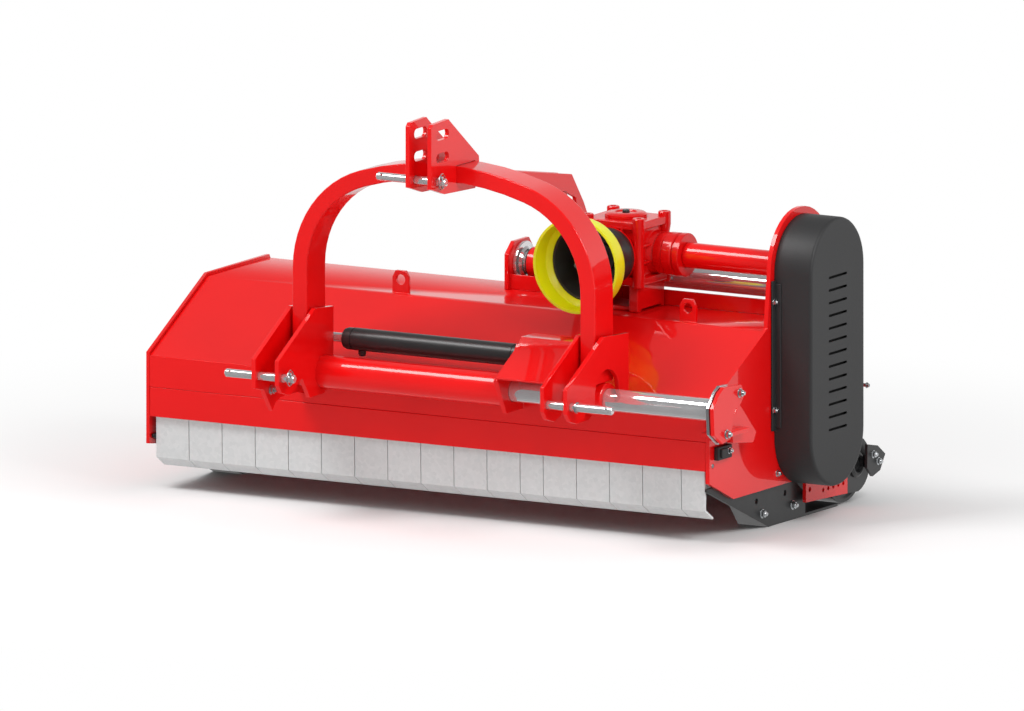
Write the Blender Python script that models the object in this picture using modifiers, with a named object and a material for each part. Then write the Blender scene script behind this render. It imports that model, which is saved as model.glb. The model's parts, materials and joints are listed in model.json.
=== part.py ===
"""Side-shift flail mulcher for a tractor's three-point hitch.

The design frame has X across the machine from the outer face of the left side plate towards the belt
cover, Y backwards from the front beam's face, and Z up from the ground. One empty, the footprint,
carries every piece, and puts the origin under the middle of the machine.
"""
from math import acos, cos, pi, radians, sin

import bmesh
import bpy
from mathutils import Matrix, Vector

# Fits and facets
GAP = 0.0003                      # between pieces that touch
SLIDE_GAP = 0.0006                # around a bar in its bore
ROUND = 24                        # sides of a bar or tube
SMALL_ROUND = 16                  # sides of a pin or hole
FACET = 0.0014                    # how far the chords of a round outline lie inside its circle, at most

# Deck
DECK_WIDTH = 1.717                # over the two side plates
SIDE_PLATE = 0.010                # thickness
SIDE_PLATE_RIGHT = 0.012
PLATE_FRONT_LOW = 0.125           # lowest front corner of the left plate
PLATE_FRONT_LOW_RIGHT = 0.166
PLATE_BOTTOM = 0.107
PLATE_CHAMFER_Y = 0.128
DECK_REAR_Y = 0.785
DECK_REAR_LOW = 0.130
DECK_REAR_HIGH = 0.300
HOOD_SHEET = 0.006
HOOD_BEND_Y = 0.306
HOOD_TOP = 0.527
HOOD_KNEE = 0.361                 # where the upright front turns into the slope
HOOD_TOP_REAR_Y = 0.634
PLATE_PROUD = 0.009               # of the side plates over the hood
BEAM_SHEET = 0.006
BEAM_LOW = 0.198
BEAM_TOP = 0.277
BEAM_FLANGE = 0.050
LUG_WIDTH = 0.050
LUG_HEIGHT = 0.060
LUG_THICK = 0.010
LUG_HOLE_RADIUS = 0.014
LUG_PLACES = (0.579, 1.454)         # across the deck
LUG_Y = 0.345

# Flaps
FLAP_WIDTHS = [0.100] * 11 + [0.070] + [0.100] * 3 + [0.117] + [0.0722]
FLAP_FIRST_X = 0.0225
FLAP_SPACING = 0.0020
FLAP_SHEET = 0.006
FLAP_ROD_RADIUS = 0.006
FLAP_EYE_RADIUS = 0.011
FLAP_ROD_Z = 0.212
FLAP_BEND_Z = 0.088
FLAP_TAIL_Y = 0.042
FLAP_TAIL_DROP = 0.027

# Slide bars and hitch frame
BAR_RADIUS = 0.030
BAR_Y = -0.060
BAR_Z = 0.378
BAR_PROUD = 0.063                 # of the front bar over the right side plate
BAR_END_X = DECK_WIDTH + BAR_PROUD
SLEEVE_RADIUS = 0.0445
SLEEVE_END_X = 1.144
REAR_BAR_Y = 0.600
REAR_BAR_Z = 0.592
REAR_SLEEVE_RADIUS = 0.042
REAR_SLEEVE_X = (0.834, 1.030)
REAR_BRACKET_X = 0.790
BAR_FLANGE_RADIUS = 0.055         # of the chrome flange that bolts the rear bar to its bracket
BAR_FLANGE = 0.018
PLATE = 0.012                     # thickness of the hitch's plates
ARCH_CENTRE_X = 0.974
ARCH_HALF_WIDTH = 0.461           # outside
ARCH_LEG_TOP = 0.660              # where the straight legs start to bend
ARCH_BEND_RADIUS = 0.290          # outside
ARCH_CROWN_ANGLE = 17.3           # degrees that the flatter crown takes on either side
ARCH_CROWN_RADIUS = ARCH_BEND_RADIUS + (ARCH_HALF_WIDTH - ARCH_BEND_RADIUS) / sin(radians(ARCH_CROWN_ANGLE))
CROWN = ARCH_LEG_TOP + ARCH_CROWN_RADIUS - (ARCH_CROWN_RADIUS - ARCH_BEND_RADIUS) * cos(radians(ARCH_CROWN_ANGLE))
ARCH_TUBE = 0.045                 # thickness in the plane of the arch
ARCH_DEPTH = 0.100
HITCH_LEG_ROOM = 0.020            # from the hitch's outer face to the leg of the arch
HITCH_OUTER_X = ARCH_CENTRE_X - ARCH_HALF_WIDTH - HITCH_LEG_ROOM
HITCH_PITCH = 0.071
HITCH_FRONT_Y = -0.298
HITCH_REAR_Y = -0.0085
HITCH_PIN_Y = -0.275
HITCH_PIN_Z = 0.392
HITCH_WINDOW_RADIUS = 0.063       # of the arched opening over the bar
PIN_RADIUS = 0.011
PIN_LENGTH = 0.210
PIN_PROUD = 0.091                 # of the pin's plain end past the outer plate
TOP_PLATE_PITCH = 0.067
TOP_PIN_Y = -0.215
TOP_PIN_Z = round(CROWN - 0.029, 4)
TOP_PIN_PROUD = 0.105

# Side-shift cylinder
CYLINDER_Y = 0.005
CYLINDER_Z = 0.460
BARREL_RADIUS = 0.030
BARREL_X = (0.606, SLEEVE_END_X)
BARREL_BORE_DEPTH = 0.480
ROD_RADIUS = 0.0125
ROD_IN_BARREL = 0.420
BRACKET_ROOM = 0.023              # from the left bracket's outer face to the hitch's
BRACKET_LEFT_X = HITCH_OUTER_X - BRACKET_ROOM
GUARD_SHEET = 0.005

# Drive
SHAFT_Y = 0.482
UPPER_Z = 0.677
ROTOR_Z = 0.240
INPUT_X = 1.200
GEARBOX_WIDTH = 0.190
GEARBOX_FRONT_Y = 0.370
GEARBOX_REAR_Y = 0.525
GEARBOX_LOW = 0.600
GEARBOX_TOP = 0.770
GEARBOX_CAP = 0.016
SHAFT_TUBE_RADIUS = 0.034
FLANGE_RADIUS = 0.058
FLANGE_LENGTH = 0.078
SHAFT_RADIUS = 0.020
INPUT_SHAFT_RADIUS = 0.0175
GUARD_MOUTH_RADIUS = 0.128
GUARD_MOUTH_Y = 0.186
GUARD_BAND = 0.052
GUARD_WALL = 0.004
COLLAR_RADIUS = 0.075
UPPER_PULLEY_RADIUS = 0.095
LOWER_PULLEY_RADIUS = 0.070
PULLEY_WIDTH = 0.070
BELT_WIDTH = 0.062
BELT_THICK = 0.012
COVER_RADIUS = 0.141
COVER_DEPTH = 0.113
COVER_WALL = 0.004
BELT_PLATE_RADIUS = 0.160

# Rotor and roller
ROTOR_RADIUS = 0.070
JOURNAL_RADIUS = 0.025
FLAIL_REACH = 0.180
FLAIL_WIDTH = 0.090
FLAIL_THICK = 0.014
FLAIL_COUNT = 14
ROTOR_END_GAP = 0.020
ROLLER_RADIUS = 0.105
ROLLER_Y = 0.755
ROLLER_PIVOT_RADIUS = 0.020
ROLLER_END_GAP = 0.012
ARM_PLATE = 0.010
ARM_EYE_RADIUS = 0.075            # of the arm round the roller's bearing
ARM_LOW = 0.043
ARM_HOLE_RADIUS = 0.006
ARM_HOLE_PITCH = 0.0265
ARM_HOLE_RISE = 0.0006            # of each hole over the one in front of it
SCRAPER_SPACER = 0.022            # between the right arm and the scraper's bracket
SCRAPER_PLATE = 0.008

# Skids
SKID_SHEET = 0.008
SKID_WIDTH = 0.093
SKID_KINK_Y = 0.335
SKID_TAPER_Y = 0.140              # where the sole starts to widen, clear of the swinging flaps
SKID_REAR_Y = 0.700
SKID_UPRIGHT_REAR_Y = 0.528
SKID_TIP_Y = 0.012
SKID_TIP_Z = 0.149
SKID_UPRIGHT_TOP = 0.150

RED = (0.75, 0.012, 0.012)
BLACK = (0.03, 0.03, 0.032)
GREY = (0.55, 0.56, 0.57)
YELLOW = (0.70, 0.72, 0.01)


def clear_scene():
    for piece in list(bpy.data.objects):
        bpy.data.objects.remove(piece, do_unlink=True)


def collection(name, hidden=False):
    group = bpy.data.collections.new(name)
    bpy.context.scene.collection.children.link(group)
    group.hide_render = hidden
    return group


def material(name, colour, roughness, metallic=0.0):
    found = bpy.data.materials.new(name)
    found.use_nodes = True
    shader = found.node_tree.nodes["Principled BSDF"]
    shader.inputs["Base Color"].default_value = (*colour, 1.0)
    shader.inputs["Roughness"].default_value = roughness
    shader.inputs["Metallic"].default_value = metallic
    return found


clear_scene()
PARTS = collection("mulcher")
CUTTERS = collection("cutters", hidden=True)
FOOTPRINT = bpy.data.objects.new("footprint", None)
PARTS.objects.link(FOOTPRINT)
MATERIALS = {
    "red_paint": material("red_paint", RED, 0.25),
    "black_paint": material("black_paint", BLACK, 0.45),
    "chrome": material("chrome", (0.85, 0.85, 0.86), 0.08, 1.0),
    "galvanised": material("galvanised", GREY, 0.45, 0.8),
    "steel": material("steel", (0.35, 0.35, 0.36), 0.4, 1.0),
    "yellow_plastic": material("yellow_plastic", YELLOW, 0.4),
    "black_plastic": material("black_plastic", BLACK, 0.6),
    "rubber": material("rubber", (0.02, 0.02, 0.02), 0.8),
}

# The way that each plane's drawing lies in space: the drawing's x, its y and its thickness
PLANES = {
    "YZ": Matrix(((0, 0, 1), (1, 0, 0), (0, 1, 0))).to_4x4(),
    "XZ": Matrix(((1, 0, 0), (0, 0, -1), (0, 1, 0))).to_4x4(),
    "XY": Matrix.Identity(4),
}


def arc(centre, radius, start, end, steps):
    """Points on an arc, with the angles in degrees."""
    angles = [(start + (end - start) * i / steps) * pi / 180 for i in range(steps + 1)]
    return [(centre[0] + radius * cos(a), centre[1] + radius * sin(a)) for a in angles]


def circle(centre, radius, sides=SMALL_ROUND):
    return arc(centre, radius, 0, 360, sides)[:-1]


def slot(centre, length, width, sides=8):
    """A slot along the drawing's x, with round ends."""
    reach = (length - width) / 2
    right = arc((centre[0] + reach, centre[1]), width / 2, -90, 90, sides)
    left = arc((centre[0] - reach, centre[1]), width / 2, 90, 270, sides)
    return right + left


def flat_mesh(outline, depth, holes=(), plane="YZ"):
    """A flat outline with its holes, filled, and thickened evenly to both sides."""
    curve = bpy.data.curves.new("outline", "CURVE")
    curve.dimensions = "2D"
    curve.fill_mode = "BOTH"
    curve.extrude = depth / 2
    for points in (outline, *holes):
        spline = curve.splines.new("POLY")
        spline.points.add(len(points) - 1)
        for point, (x, y) in zip(spline.points, points):
            point.co = (x, y, 0, 1)
        spline.use_cyclic_u = True
    holder = bpy.data.objects.new("outline", curve)
    CUTTERS.objects.link(holder)
    bpy.context.view_layer.update()
    evaluated = holder.evaluated_get(bpy.context.evaluated_depsgraph_get())
    mesh = bpy.data.meshes.new_from_object(evaluated)
    bpy.data.objects.remove(holder)
    tidy(mesh)
    mesh.transform(PLANES[plane])
    return mesh


def tidy(mesh):
    work = bmesh.new()
    work.from_mesh(mesh)
    bmesh.ops.remove_doubles(work, verts=work.verts, dist=0.00002)
    bmesh.ops.recalc_face_normals(work, faces=work.faces)
    work.to_mesh(mesh)
    work.free()


def cylinder_mesh(radius, start, end, axis="X", across=(0.0, 0.0), sides=ROUND, end_radius=None):
    """A round bar along an axis, whose other two coordinates are across, in X, Y, Z order."""
    work = bmesh.new()
    far = radius if end_radius is None else end_radius
    bmesh.ops.create_cone(work, cap_ends=True, segments=sides, radius1=radius, radius2=far, depth=end - start)
    middle = (start + end) / 2
    if axis == "X":
        turn = Matrix.Rotation(pi / 2, 4, "Y")
        place = (middle, across[0], across[1])
    elif axis == "Y":
        turn = Matrix.Rotation(-pi / 2, 4, "X")
        place = (across[0], middle, across[1])
    else:
        turn = Matrix.Identity(4)
        place = (across[0], across[1], middle)
    bmesh.ops.transform(work, matrix=Matrix.Translation(place) @ turn, verts=work.verts)
    mesh = bpy.data.meshes.new("cylinder")
    work.to_mesh(mesh)
    work.free()
    return mesh


def box_mesh(low, high):
    work = bmesh.new()
    bmesh.ops.create_cube(work, size=1.0)
    size = [b - a for a, b in zip(low, high)]
    middle = [(a + b) / 2 for a, b in zip(low, high)]
    bmesh.ops.scale(work, vec=size, verts=work.verts)
    bmesh.ops.translate(work, vec=middle, verts=work.verts)
    mesh = bpy.data.meshes.new("box")
    work.to_mesh(mesh)
    work.free()
    return mesh


def moved(mesh, offset):
    mesh.transform(Matrix.Translation(offset))
    return mesh


def combine(mesh, other, operation):
    """The exact Boolean of two meshes."""
    target = bpy.data.objects.new("target", mesh)
    tool = bpy.data.objects.new("tool", other)
    for holder in (target, tool):
        CUTTERS.objects.link(holder)
        holder.hide_render = True
        holder.display_type = "WIRE"
    boolean = target.modifiers.new("boolean", "BOOLEAN")
    boolean.operation = operation
    boolean.solver = "EXACT"
    boolean.object = tool
    bpy.context.view_layer.update()
    evaluated = target.evaluated_get(bpy.context.evaluated_depsgraph_get())
    result = bpy.data.meshes.new_from_object(evaluated)
    for holder in (target, tool):
        bpy.data.objects.remove(holder)
    tidy(result)
    return result


def cut(mesh, *tools):
    for tool in tools:
        mesh = combine(mesh, tool, "DIFFERENCE")
    return mesh


def join(mesh, *others):
    for other in others:
        mesh = combine(mesh, other, "UNION")
    return mesh


def add(name, mesh, finish, origin=(0.0, 0.0, 0.0), smooth=True):
    """Places a mesh that is drawn in the design frame as a piece whose origin is on its joint."""
    mesh.transform(Matrix.Translation([-value for value in origin]))
    mesh.name = name
    piece = bpy.data.objects.new(name, mesh)
    piece.location = origin
    piece.parent = FOOTPRINT
    mesh.materials.clear()
    mesh.materials.append(MATERIALS[finish])
    if smooth:
        mesh.shade_smooth()
        mesh.set_sharp_from_angle(angle=0.6)
    PARTS.objects.link(piece)
    return piece


def plate_x(outline, x_low, x_high, holes=()):
    """A plate that stands across X, between two X values."""
    return moved(flat_mesh(outline, x_high - x_low, holes), ((x_low + x_high) / 2, 0, 0))


def band(path, thick):
    """The closed outline of a sheet whose outer face follows a path and whose metal lies on its right."""
    inner = []
    for i, point in enumerate(path):
        here = Vector(point)
        before = (here - Vector(path[i - 1])).normalized() if i else None
        after = (Vector(path[i + 1]) - here).normalized() if i + 1 < len(path) else None
        first = before or after
        second = after or before
        normal = Vector((first.y, -first.x))
        other = Vector((second.y, -second.x))
        mitre = (normal + other).normalized()
        inner.append(tuple(here + mitre * thick / mitre.dot(normal)))
    return list(path) + inner[::-1]


INNER_LEFT = SIDE_PLATE + GAP
FLAP_ROD_Y = BEAM_SHEET + FLAP_EYE_RADIUS + 4 * GAP
INNER_RIGHT = DECK_WIDTH - SIDE_PLATE_RIGHT - GAP


def hood_z(y):
    """Height of the hood's outer face at a distance behind the front beam."""
    return HOOD_KNEE + (HOOD_TOP - HOOD_KNEE) * y / HOOD_BEND_Y


def side_plate_profile(front_low):
    lower = [(DECK_REAR_Y, DECK_REAR_LOW), (DECK_REAR_Y, DECK_REAR_HIGH)]
    front = [(PLATE_CHAMFER_Y, PLATE_BOTTOM), (0, front_low), (0, HOOD_KNEE + PLATE_PROUD),
             (HOOD_BEND_Y, HOOD_TOP + PLATE_PROUD)]
    return lower, front


SIDE_HOLES = [circle((SHAFT_Y, ROTOR_Z), JOURNAL_RADIUS + SLIDE_GAP, ROUND),
              circle((FLAP_ROD_Y, FLAP_ROD_Z), FLAP_ROD_RADIUS + SLIDE_GAP)]


def side_plates():
    lower, front = side_plate_profile(PLATE_FRONT_LOW)
    rear_top = (HOOD_TOP_REAR_Y, HOOD_TOP + PLATE_PROUD)
    outline = front + [rear_top] + lower[::-1] + [(HOOD_TOP_REAR_Y, PLATE_BOTTOM)]
    add("left_side_plate", plate_x(outline, 0, SIDE_PLATE, SIDE_HOLES), "red_paint", smooth=False)

    lower, front = side_plate_profile(PLATE_FRONT_LOW_RIGHT)
    foot = acos(min(1.0, (SHAFT_Y - HOOD_BEND_Y) / BELT_PLATE_RADIUS)) * 180 / pi
    over = arc((SHAFT_Y, UPPER_Z), BELT_PLATE_RADIUS, 180 - foot, 0, 20)
    rear = [(SHAFT_Y + BELT_PLATE_RADIUS, HOOD_TOP + PLATE_PROUD), rear_top]
    outline = front + over + rear + lower[::-1] + [(HOOD_TOP_REAR_Y, PLATE_BOTTOM)]
    shaft = circle((SHAFT_Y, UPPER_Z), SHAFT_RADIUS + SLIDE_GAP, ROUND)
    plate = plate_x(outline, DECK_WIDTH - SIDE_PLATE_RIGHT, DECK_WIDTH, SIDE_HOLES + [shaft])
    add("right_side_plate", plate, "red_paint", smooth=False)


def hood():
    path = [(0, BEAM_TOP + GAP), (0, HOOD_KNEE), (HOOD_BEND_Y, HOOD_TOP), (HOOD_TOP_REAR_Y, HOOD_TOP),
            (DECK_REAR_Y - 0.004, DECK_REAR_HIGH)]
    mesh = plate_x(band(path, HOOD_SHEET), INNER_LEFT, INNER_RIGHT)
    for x in LUG_PLACES:
        foot = HOOD_TOP - HOOD_SHEET / 2
        side = LUG_WIDTH / 2
        outline = [(x - side, foot), (x + side, foot), (x + side, HOOD_TOP + LUG_HEIGHT * 0.7),
                   (x + side * 0.6, HOOD_TOP + LUG_HEIGHT), (x - side * 0.6, HOOD_TOP + LUG_HEIGHT),
                   (x - side, HOOD_TOP + LUG_HEIGHT * 0.7)]
        hole = circle((x, HOOD_TOP + LUG_HEIGHT * 0.6), LUG_HOLE_RADIUS, 12)
        lug = moved(flat_mesh(outline, LUG_THICK, [hole], "XZ"), (0, LUG_Y, 0))
        mesh = join(mesh, lug)
    add("hood", mesh, "red_paint", smooth=False)


def front_beam():
    outline = [(0, BEAM_LOW), (BEAM_SHEET, BEAM_LOW), (BEAM_SHEET, BEAM_TOP - BEAM_SHEET),
               (BEAM_FLANGE, BEAM_TOP - BEAM_SHEET), (BEAM_FLANGE, BEAM_TOP), (0, BEAM_TOP)]
    add("front_beam", plate_x(outline, INNER_LEFT, INNER_RIGHT), "red_paint", smooth=False)


def flaps():
    rod = cylinder_mesh(FLAP_ROD_RADIUS, 0, DECK_WIDTH, "X", (FLAP_ROD_Y, FLAP_ROD_Z), 12)
    add("flap_rod", rod, "steel")
    face = FLAP_ROD_Y - FLAP_SHEET / 2
    drop = -(FLAP_EYE_RADIUS ** 2 - (FLAP_SHEET / 2) ** 2) ** 0.5
    path = [(face, FLAP_ROD_Z + drop), (face, FLAP_BEND_Z),
            (face + FLAP_TAIL_Y, FLAP_BEND_Z - FLAP_TAIL_DROP)]
    sheet = band(path[::-1], FLAP_SHEET)
    eye = arc((FLAP_ROD_Y, FLAP_ROD_Z), FLAP_EYE_RADIUS, -62, 242, 10)
    outline = sheet[:2] + eye[::-1] + sheet[4:]
    hole = circle((FLAP_ROD_Y, FLAP_ROD_Z), FLAP_ROD_RADIUS + SLIDE_GAP, 12)
    x = FLAP_FIRST_X
    share = (INNER_RIGHT - SKID_SHEET - FLAP_FIRST_X) / sum(FLAP_WIDTHS)
    for number, width in enumerate(FLAP_WIDTHS, 1):
        flap = plate_x(outline, x, x + width * share - FLAP_SPACING, [hole])
        add(f"flap_{number:02d}", flap, "galvanised", (0, FLAP_ROD_Y, FLAP_ROD_Z), smooth=False)
        x += width * share


def tube_mesh(outer, inner, start, end, across, sides=ROUND):
    hole = [circle(across, inner, sides)]
    return plate_x(circle(across, outer, sides), start, end, hole)


HITCH_LEFT = [HITCH_OUTER_X, HITCH_OUTER_X + HITCH_PITCH]
HITCH_RIGHT = [2 * ARCH_CENTRE_X - x - PLATE for x in HITCH_LEFT[::-1]]
BAR_HOLE = BAR_RADIUS + 2 * SLIDE_GAP


def slide_bars():
    front = cylinder_mesh(BAR_RADIUS, BRACKET_LEFT_X + PLATE + GAP, BAR_END_X - GAP, "X", (BAR_Y, BAR_Z))
    add("front_bar", front, "chrome")
    rear = cylinder_mesh(BAR_RADIUS, REAR_BRACKET_X + PLATE + GAP, INNER_RIGHT, "X", (REAR_BAR_Y, REAR_BAR_Z))
    flange_x = REAR_BRACKET_X + PLATE + GAP
    flange = cylinder_mesh(BAR_FLANGE_RADIUS, flange_x, flange_x + BAR_FLANGE, "X", (REAR_BAR_Y, REAR_BAR_Z))
    add("rear_bar", join(rear, flange), "chrome")
    axis = (BAR_Y, BAR_Z)
    bore = BAR_RADIUS + SLIDE_GAP
    left = HITCH_LEFT[0] + PLATE + GAP
    add("front_sleeve", tube_mesh(SLEEVE_RADIUS, bore, left, SLEEVE_END_X, axis), "red_paint")
    short = tube_mesh(SLEEVE_RADIUS, bore, HITCH_RIGHT[0] + PLATE + GAP, HITCH_RIGHT[1] - GAP, axis)
    add("right_sleeve", short, "red_paint")
    back = tube_mesh(REAR_SLEEVE_RADIUS, bore, *REAR_SLEEVE_X, (REAR_BAR_Y, REAR_BAR_Z))
    add("rear_sleeve", back, "red_paint")


def bar_brackets():
    """The plates that hold the ends of the slide bars and the rod of the side-shift cylinder."""
    low = BRACKET_LEFT_X
    hold = 0.110
    outline = [(-0.100, 0.345), (-0.105, 0.400), (-0.028, 0.488), (0.030, 0.488),
               (hold, hood_z(hold) + 2 * GAP), (-2 * GAP, HOOD_KNEE + 3 * GAP), (-2 * GAP, 0.300), (-0.060, 0.320)]
    add("bar_bracket_left", plate_x(outline, low, low + PLATE), "red_paint", smooth=False)

    tall = [(-0.104, 0.318), (-0.109, 0.390), (-0.076, 0.427), (-0.051, 0.440), (0.040, 0.434), (0.056, 0.407),
            (0.040, 0.385), (0.007, 0.370), (-0.018, 0.297), (-0.059, 0.289)]
    plate = plate_x(tall, BAR_END_X, BAR_END_X + PLATE)
    gusset = [(0.088, 0.374), (0.179, 0.284), (0.163, 0.257), (0.055, 0.272), (0.048, 0.330)]
    web = plate_x(gusset, DECK_WIDTH + GAP, DECK_WIDTH + 0.040)
    shelf = box_mesh((DECK_WIDTH + GAP, -0.044, 0.300), (BAR_END_X + PLATE / 2, 0.094, 0.311))
    add("bar_bracket_right", join(plate, web, shelf), "red_paint", smooth=False)

    foot = HOOD_TOP + GAP
    outline = [(REAR_BAR_Y - 0.078, foot), (HOOD_TOP_REAR_Y - 0.004, foot), (REAR_BAR_Y + 0.054, foot + 0.040),
               (REAR_BAR_Y + 0.054, foot + 0.100), (REAR_BAR_Y + 0.034, foot + 0.125),
               (REAR_BAR_Y - 0.044, foot + 0.125), (REAR_BAR_Y - 0.078, foot + 0.095)]
    wall = plate_x(outline, REAR_BRACKET_X, REAR_BRACKET_X + PLATE)
    front = REAR_BAR_Y - BAR_FLANGE_RADIUS - 0.012
    beam = box_mesh((REAR_BRACKET_X + PLATE / 2, front, foot), (INNER_RIGHT, front + 0.008, foot + 0.040))
    add("rear_beam", join(wall, beam), "red_paint", smooth=False)


ARCH_FRONT = BAR_Y - ARCH_DEPTH / 2 - 0.008
ARCH_REAR = ARCH_FRONT + ARCH_DEPTH


def arch():
    """One rectangular tube with two tight bends and a flatter crown, whose legs stand on the sleeves."""
    foot = BAR_Z + SLEEVE_RADIUS + GAP
    turn = 90 - ARCH_CROWN_ANGLE
    reach = ARCH_HALF_WIDTH - ARCH_BEND_RADIUS

    def bent(inset):
        """The bent line from the right foot to the left one."""
        half, bend, crown = ARCH_HALF_WIDTH - inset, ARCH_BEND_RADIUS - inset, ARCH_CROWN_RADIUS - inset
        line = [(ARCH_CENTRE_X + half, foot)] + arc((ARCH_CENTRE_X + reach, ARCH_LEG_TOP), bend, 0, turn, 12)
        line += arc((ARCH_CENTRE_X, CROWN - ARCH_CROWN_RADIUS), crown, turn, 180 - turn, 8)[1:-1]
        return line + arc((ARCH_CENTRE_X - reach, ARCH_LEG_TOP), bend, 180 - turn, 180, 12) + [(ARCH_CENTRE_X - half, foot)]

    outline = bent(0) + bent(ARCH_TUBE)[::-1]
    mesh = moved(flat_mesh(outline, ARCH_DEPTH, plane="XZ"), (0, (ARCH_FRONT + ARCH_REAR) / 2, 0))
    add("arch", mesh, "red_paint")


def hitch_plates():
    """Two pairs of lower hitch plates, which straddle the legs of the arch."""
    upper = [(HITCH_FRONT_Y, 0.440), (-0.103, 0.553)]
    rear = [(HITCH_REAR_Y, 0.545), (HITCH_REAR_Y, 0.345), (BAR_Y, 0.318)]
    nose = [(-0.172, 0.375), (-0.194, 0.371), (-0.207, 0.352), (-0.242, 0.341), (-0.280, 0.352), (HITCH_FRONT_Y, 0.375)]
    hook = [(-0.165, 0.318), (-0.190, 0.308), (-0.207, 0.288), (-0.251, 0.350), (HITCH_FRONT_Y, 0.362)]
    over = HITCH_WINDOW_RADIUS
    middle = (BAR_Y - 0.027, BAR_Z + 0.023)
    arched = [(0.028, 0.545), (0.028, 0.393), (-0.009, 0.368), (middle[0] + over, 0.368)]
    arched += arc(middle, over, 0, 180, 16) + [(middle[0] - over, 0.372)]
    pin = circle((HITCH_PIN_Y, HITCH_PIN_Z), PIN_RADIUS + SLIDE_GAP)
    over_bar = circle((BAR_Y, BAR_Z), BAR_HOLE, ROUND)
    over_sleeve = circle((BAR_Y, BAR_Z), SLEEVE_RADIUS + GAP, ROUND)
    notched = upper + rear + [(-0.132, 0.318)] + nose
    sets = [("hitch_plate_left_outer", HITCH_LEFT[0], upper + rear + hook, [pin, over_bar]),
            ("hitch_plate_left_inner", HITCH_LEFT[1], notched, [pin, over_sleeve]),
            ("hitch_plate_right_inner", HITCH_RIGHT[0], notched, [pin, over_bar]),
            ("hitch_plate_right_outer", HITCH_RIGHT[1], upper + arched + nose, [pin])]
    for name, x, outline, holes in sets:
        add(name, plate_x(outline, x, x + PLATE, holes), "red_paint", smooth=False)


TOP_LEFT = ARCH_CENTRE_X - TOP_PLATE_PITCH / 2 - PLATE / 2
TOP_RIGHT = TOP_LEFT + TOP_PLATE_PITCH


def top_link():
    """The clevis of the top link, whose plates fit over the crown of the arch."""
    front, rear = TOP_PIN_Y - 0.035, ARCH_REAR + 0.024
    outline = [(front, CROWN - 0.045), (front, CROWN + 0.119), (front + 0.010, CROWN + 0.128),
               (ARCH_FRONT - 0.040, CROWN + 0.131), (ARCH_FRONT - 0.032, CROWN + 0.124), (rear - 0.004, CROWN + 0.009),
               (rear, CROWN - 0.041), (ARCH_REAR, CROWN - ARCH_TUBE - 0.030), (TOP_PIN_Y + 0.035, CROWN - 0.067)]
    under = ((ARCH_CROWN_RADIUS - ARCH_TUBE) ** 2 - (ARCH_CENTRE_X - TOP_LEFT) ** 2) ** 0.5
    low = CROWN - ARCH_CROWN_RADIUS + under - FACET
    window = [(ARCH_FRONT - GAP, low), (ARCH_REAR + GAP, low), (ARCH_REAR + GAP, CROWN + GAP),
              (ARCH_FRONT - GAP, CROWN + GAP)]
    holes = [circle((TOP_PIN_Y, TOP_PIN_Z), PIN_RADIUS + SLIDE_GAP), window,
             *(slot((TOP_PIN_Y + 0.025, CROWN + rise), 0.066, 0.026) for rise in (0.094, 0.033))]
    for name, x in (("top_link_plate_left", TOP_LEFT), ("top_link_plate_right", TOP_RIGHT)):
        add(name, plate_x(outline, x, x + PLATE, holes), "red_paint", smooth=False)


def stays():
    """Two plates that brace the crown of the arch to the rear sleeve, over the gearbox."""
    outline = [(ARCH_REAR + GAP, CROWN - 0.024), (0.515, 0.856), (0.578, 0.772), (0.648, 0.650)]
    outline += arc((REAR_BAR_Y, REAR_BAR_Z), 0.054, 0, -180, 8)
    outline += [(0.546, 0.700), (0.536, 0.790), (0.478, 0.816), (ARCH_REAR + GAP, CROWN - 0.061)]
    hole = circle((REAR_BAR_Y, REAR_BAR_Z), REAR_SLEEVE_RADIUS + GAP, ROUND)
    for name, x in (("stay_left", TOP_LEFT + PLATE + GAP), ("stay_right", TOP_RIGHT - PLATE - GAP)):
        add(name, plate_x(outline, x, x + PLATE, [hole]), "red_paint", smooth=False)


def pins():
    for name, x, y, z in (("lower_pin_left", HITCH_LEFT[0] - PIN_PROUD, HITCH_PIN_Y, HITCH_PIN_Z),
                          ("lower_pin_right", HITCH_RIGHT[0] - 0.001, HITCH_PIN_Y, HITCH_PIN_Z),
                          ("top_link_pin", TOP_LEFT - TOP_PIN_PROUD, TOP_PIN_Y, TOP_PIN_Z)):
        add(name, cylinder_mesh(PIN_RADIUS, x, x + PIN_LENGTH, "X", (y, z), SMALL_ROUND), "chrome", (x, y, z))


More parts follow.
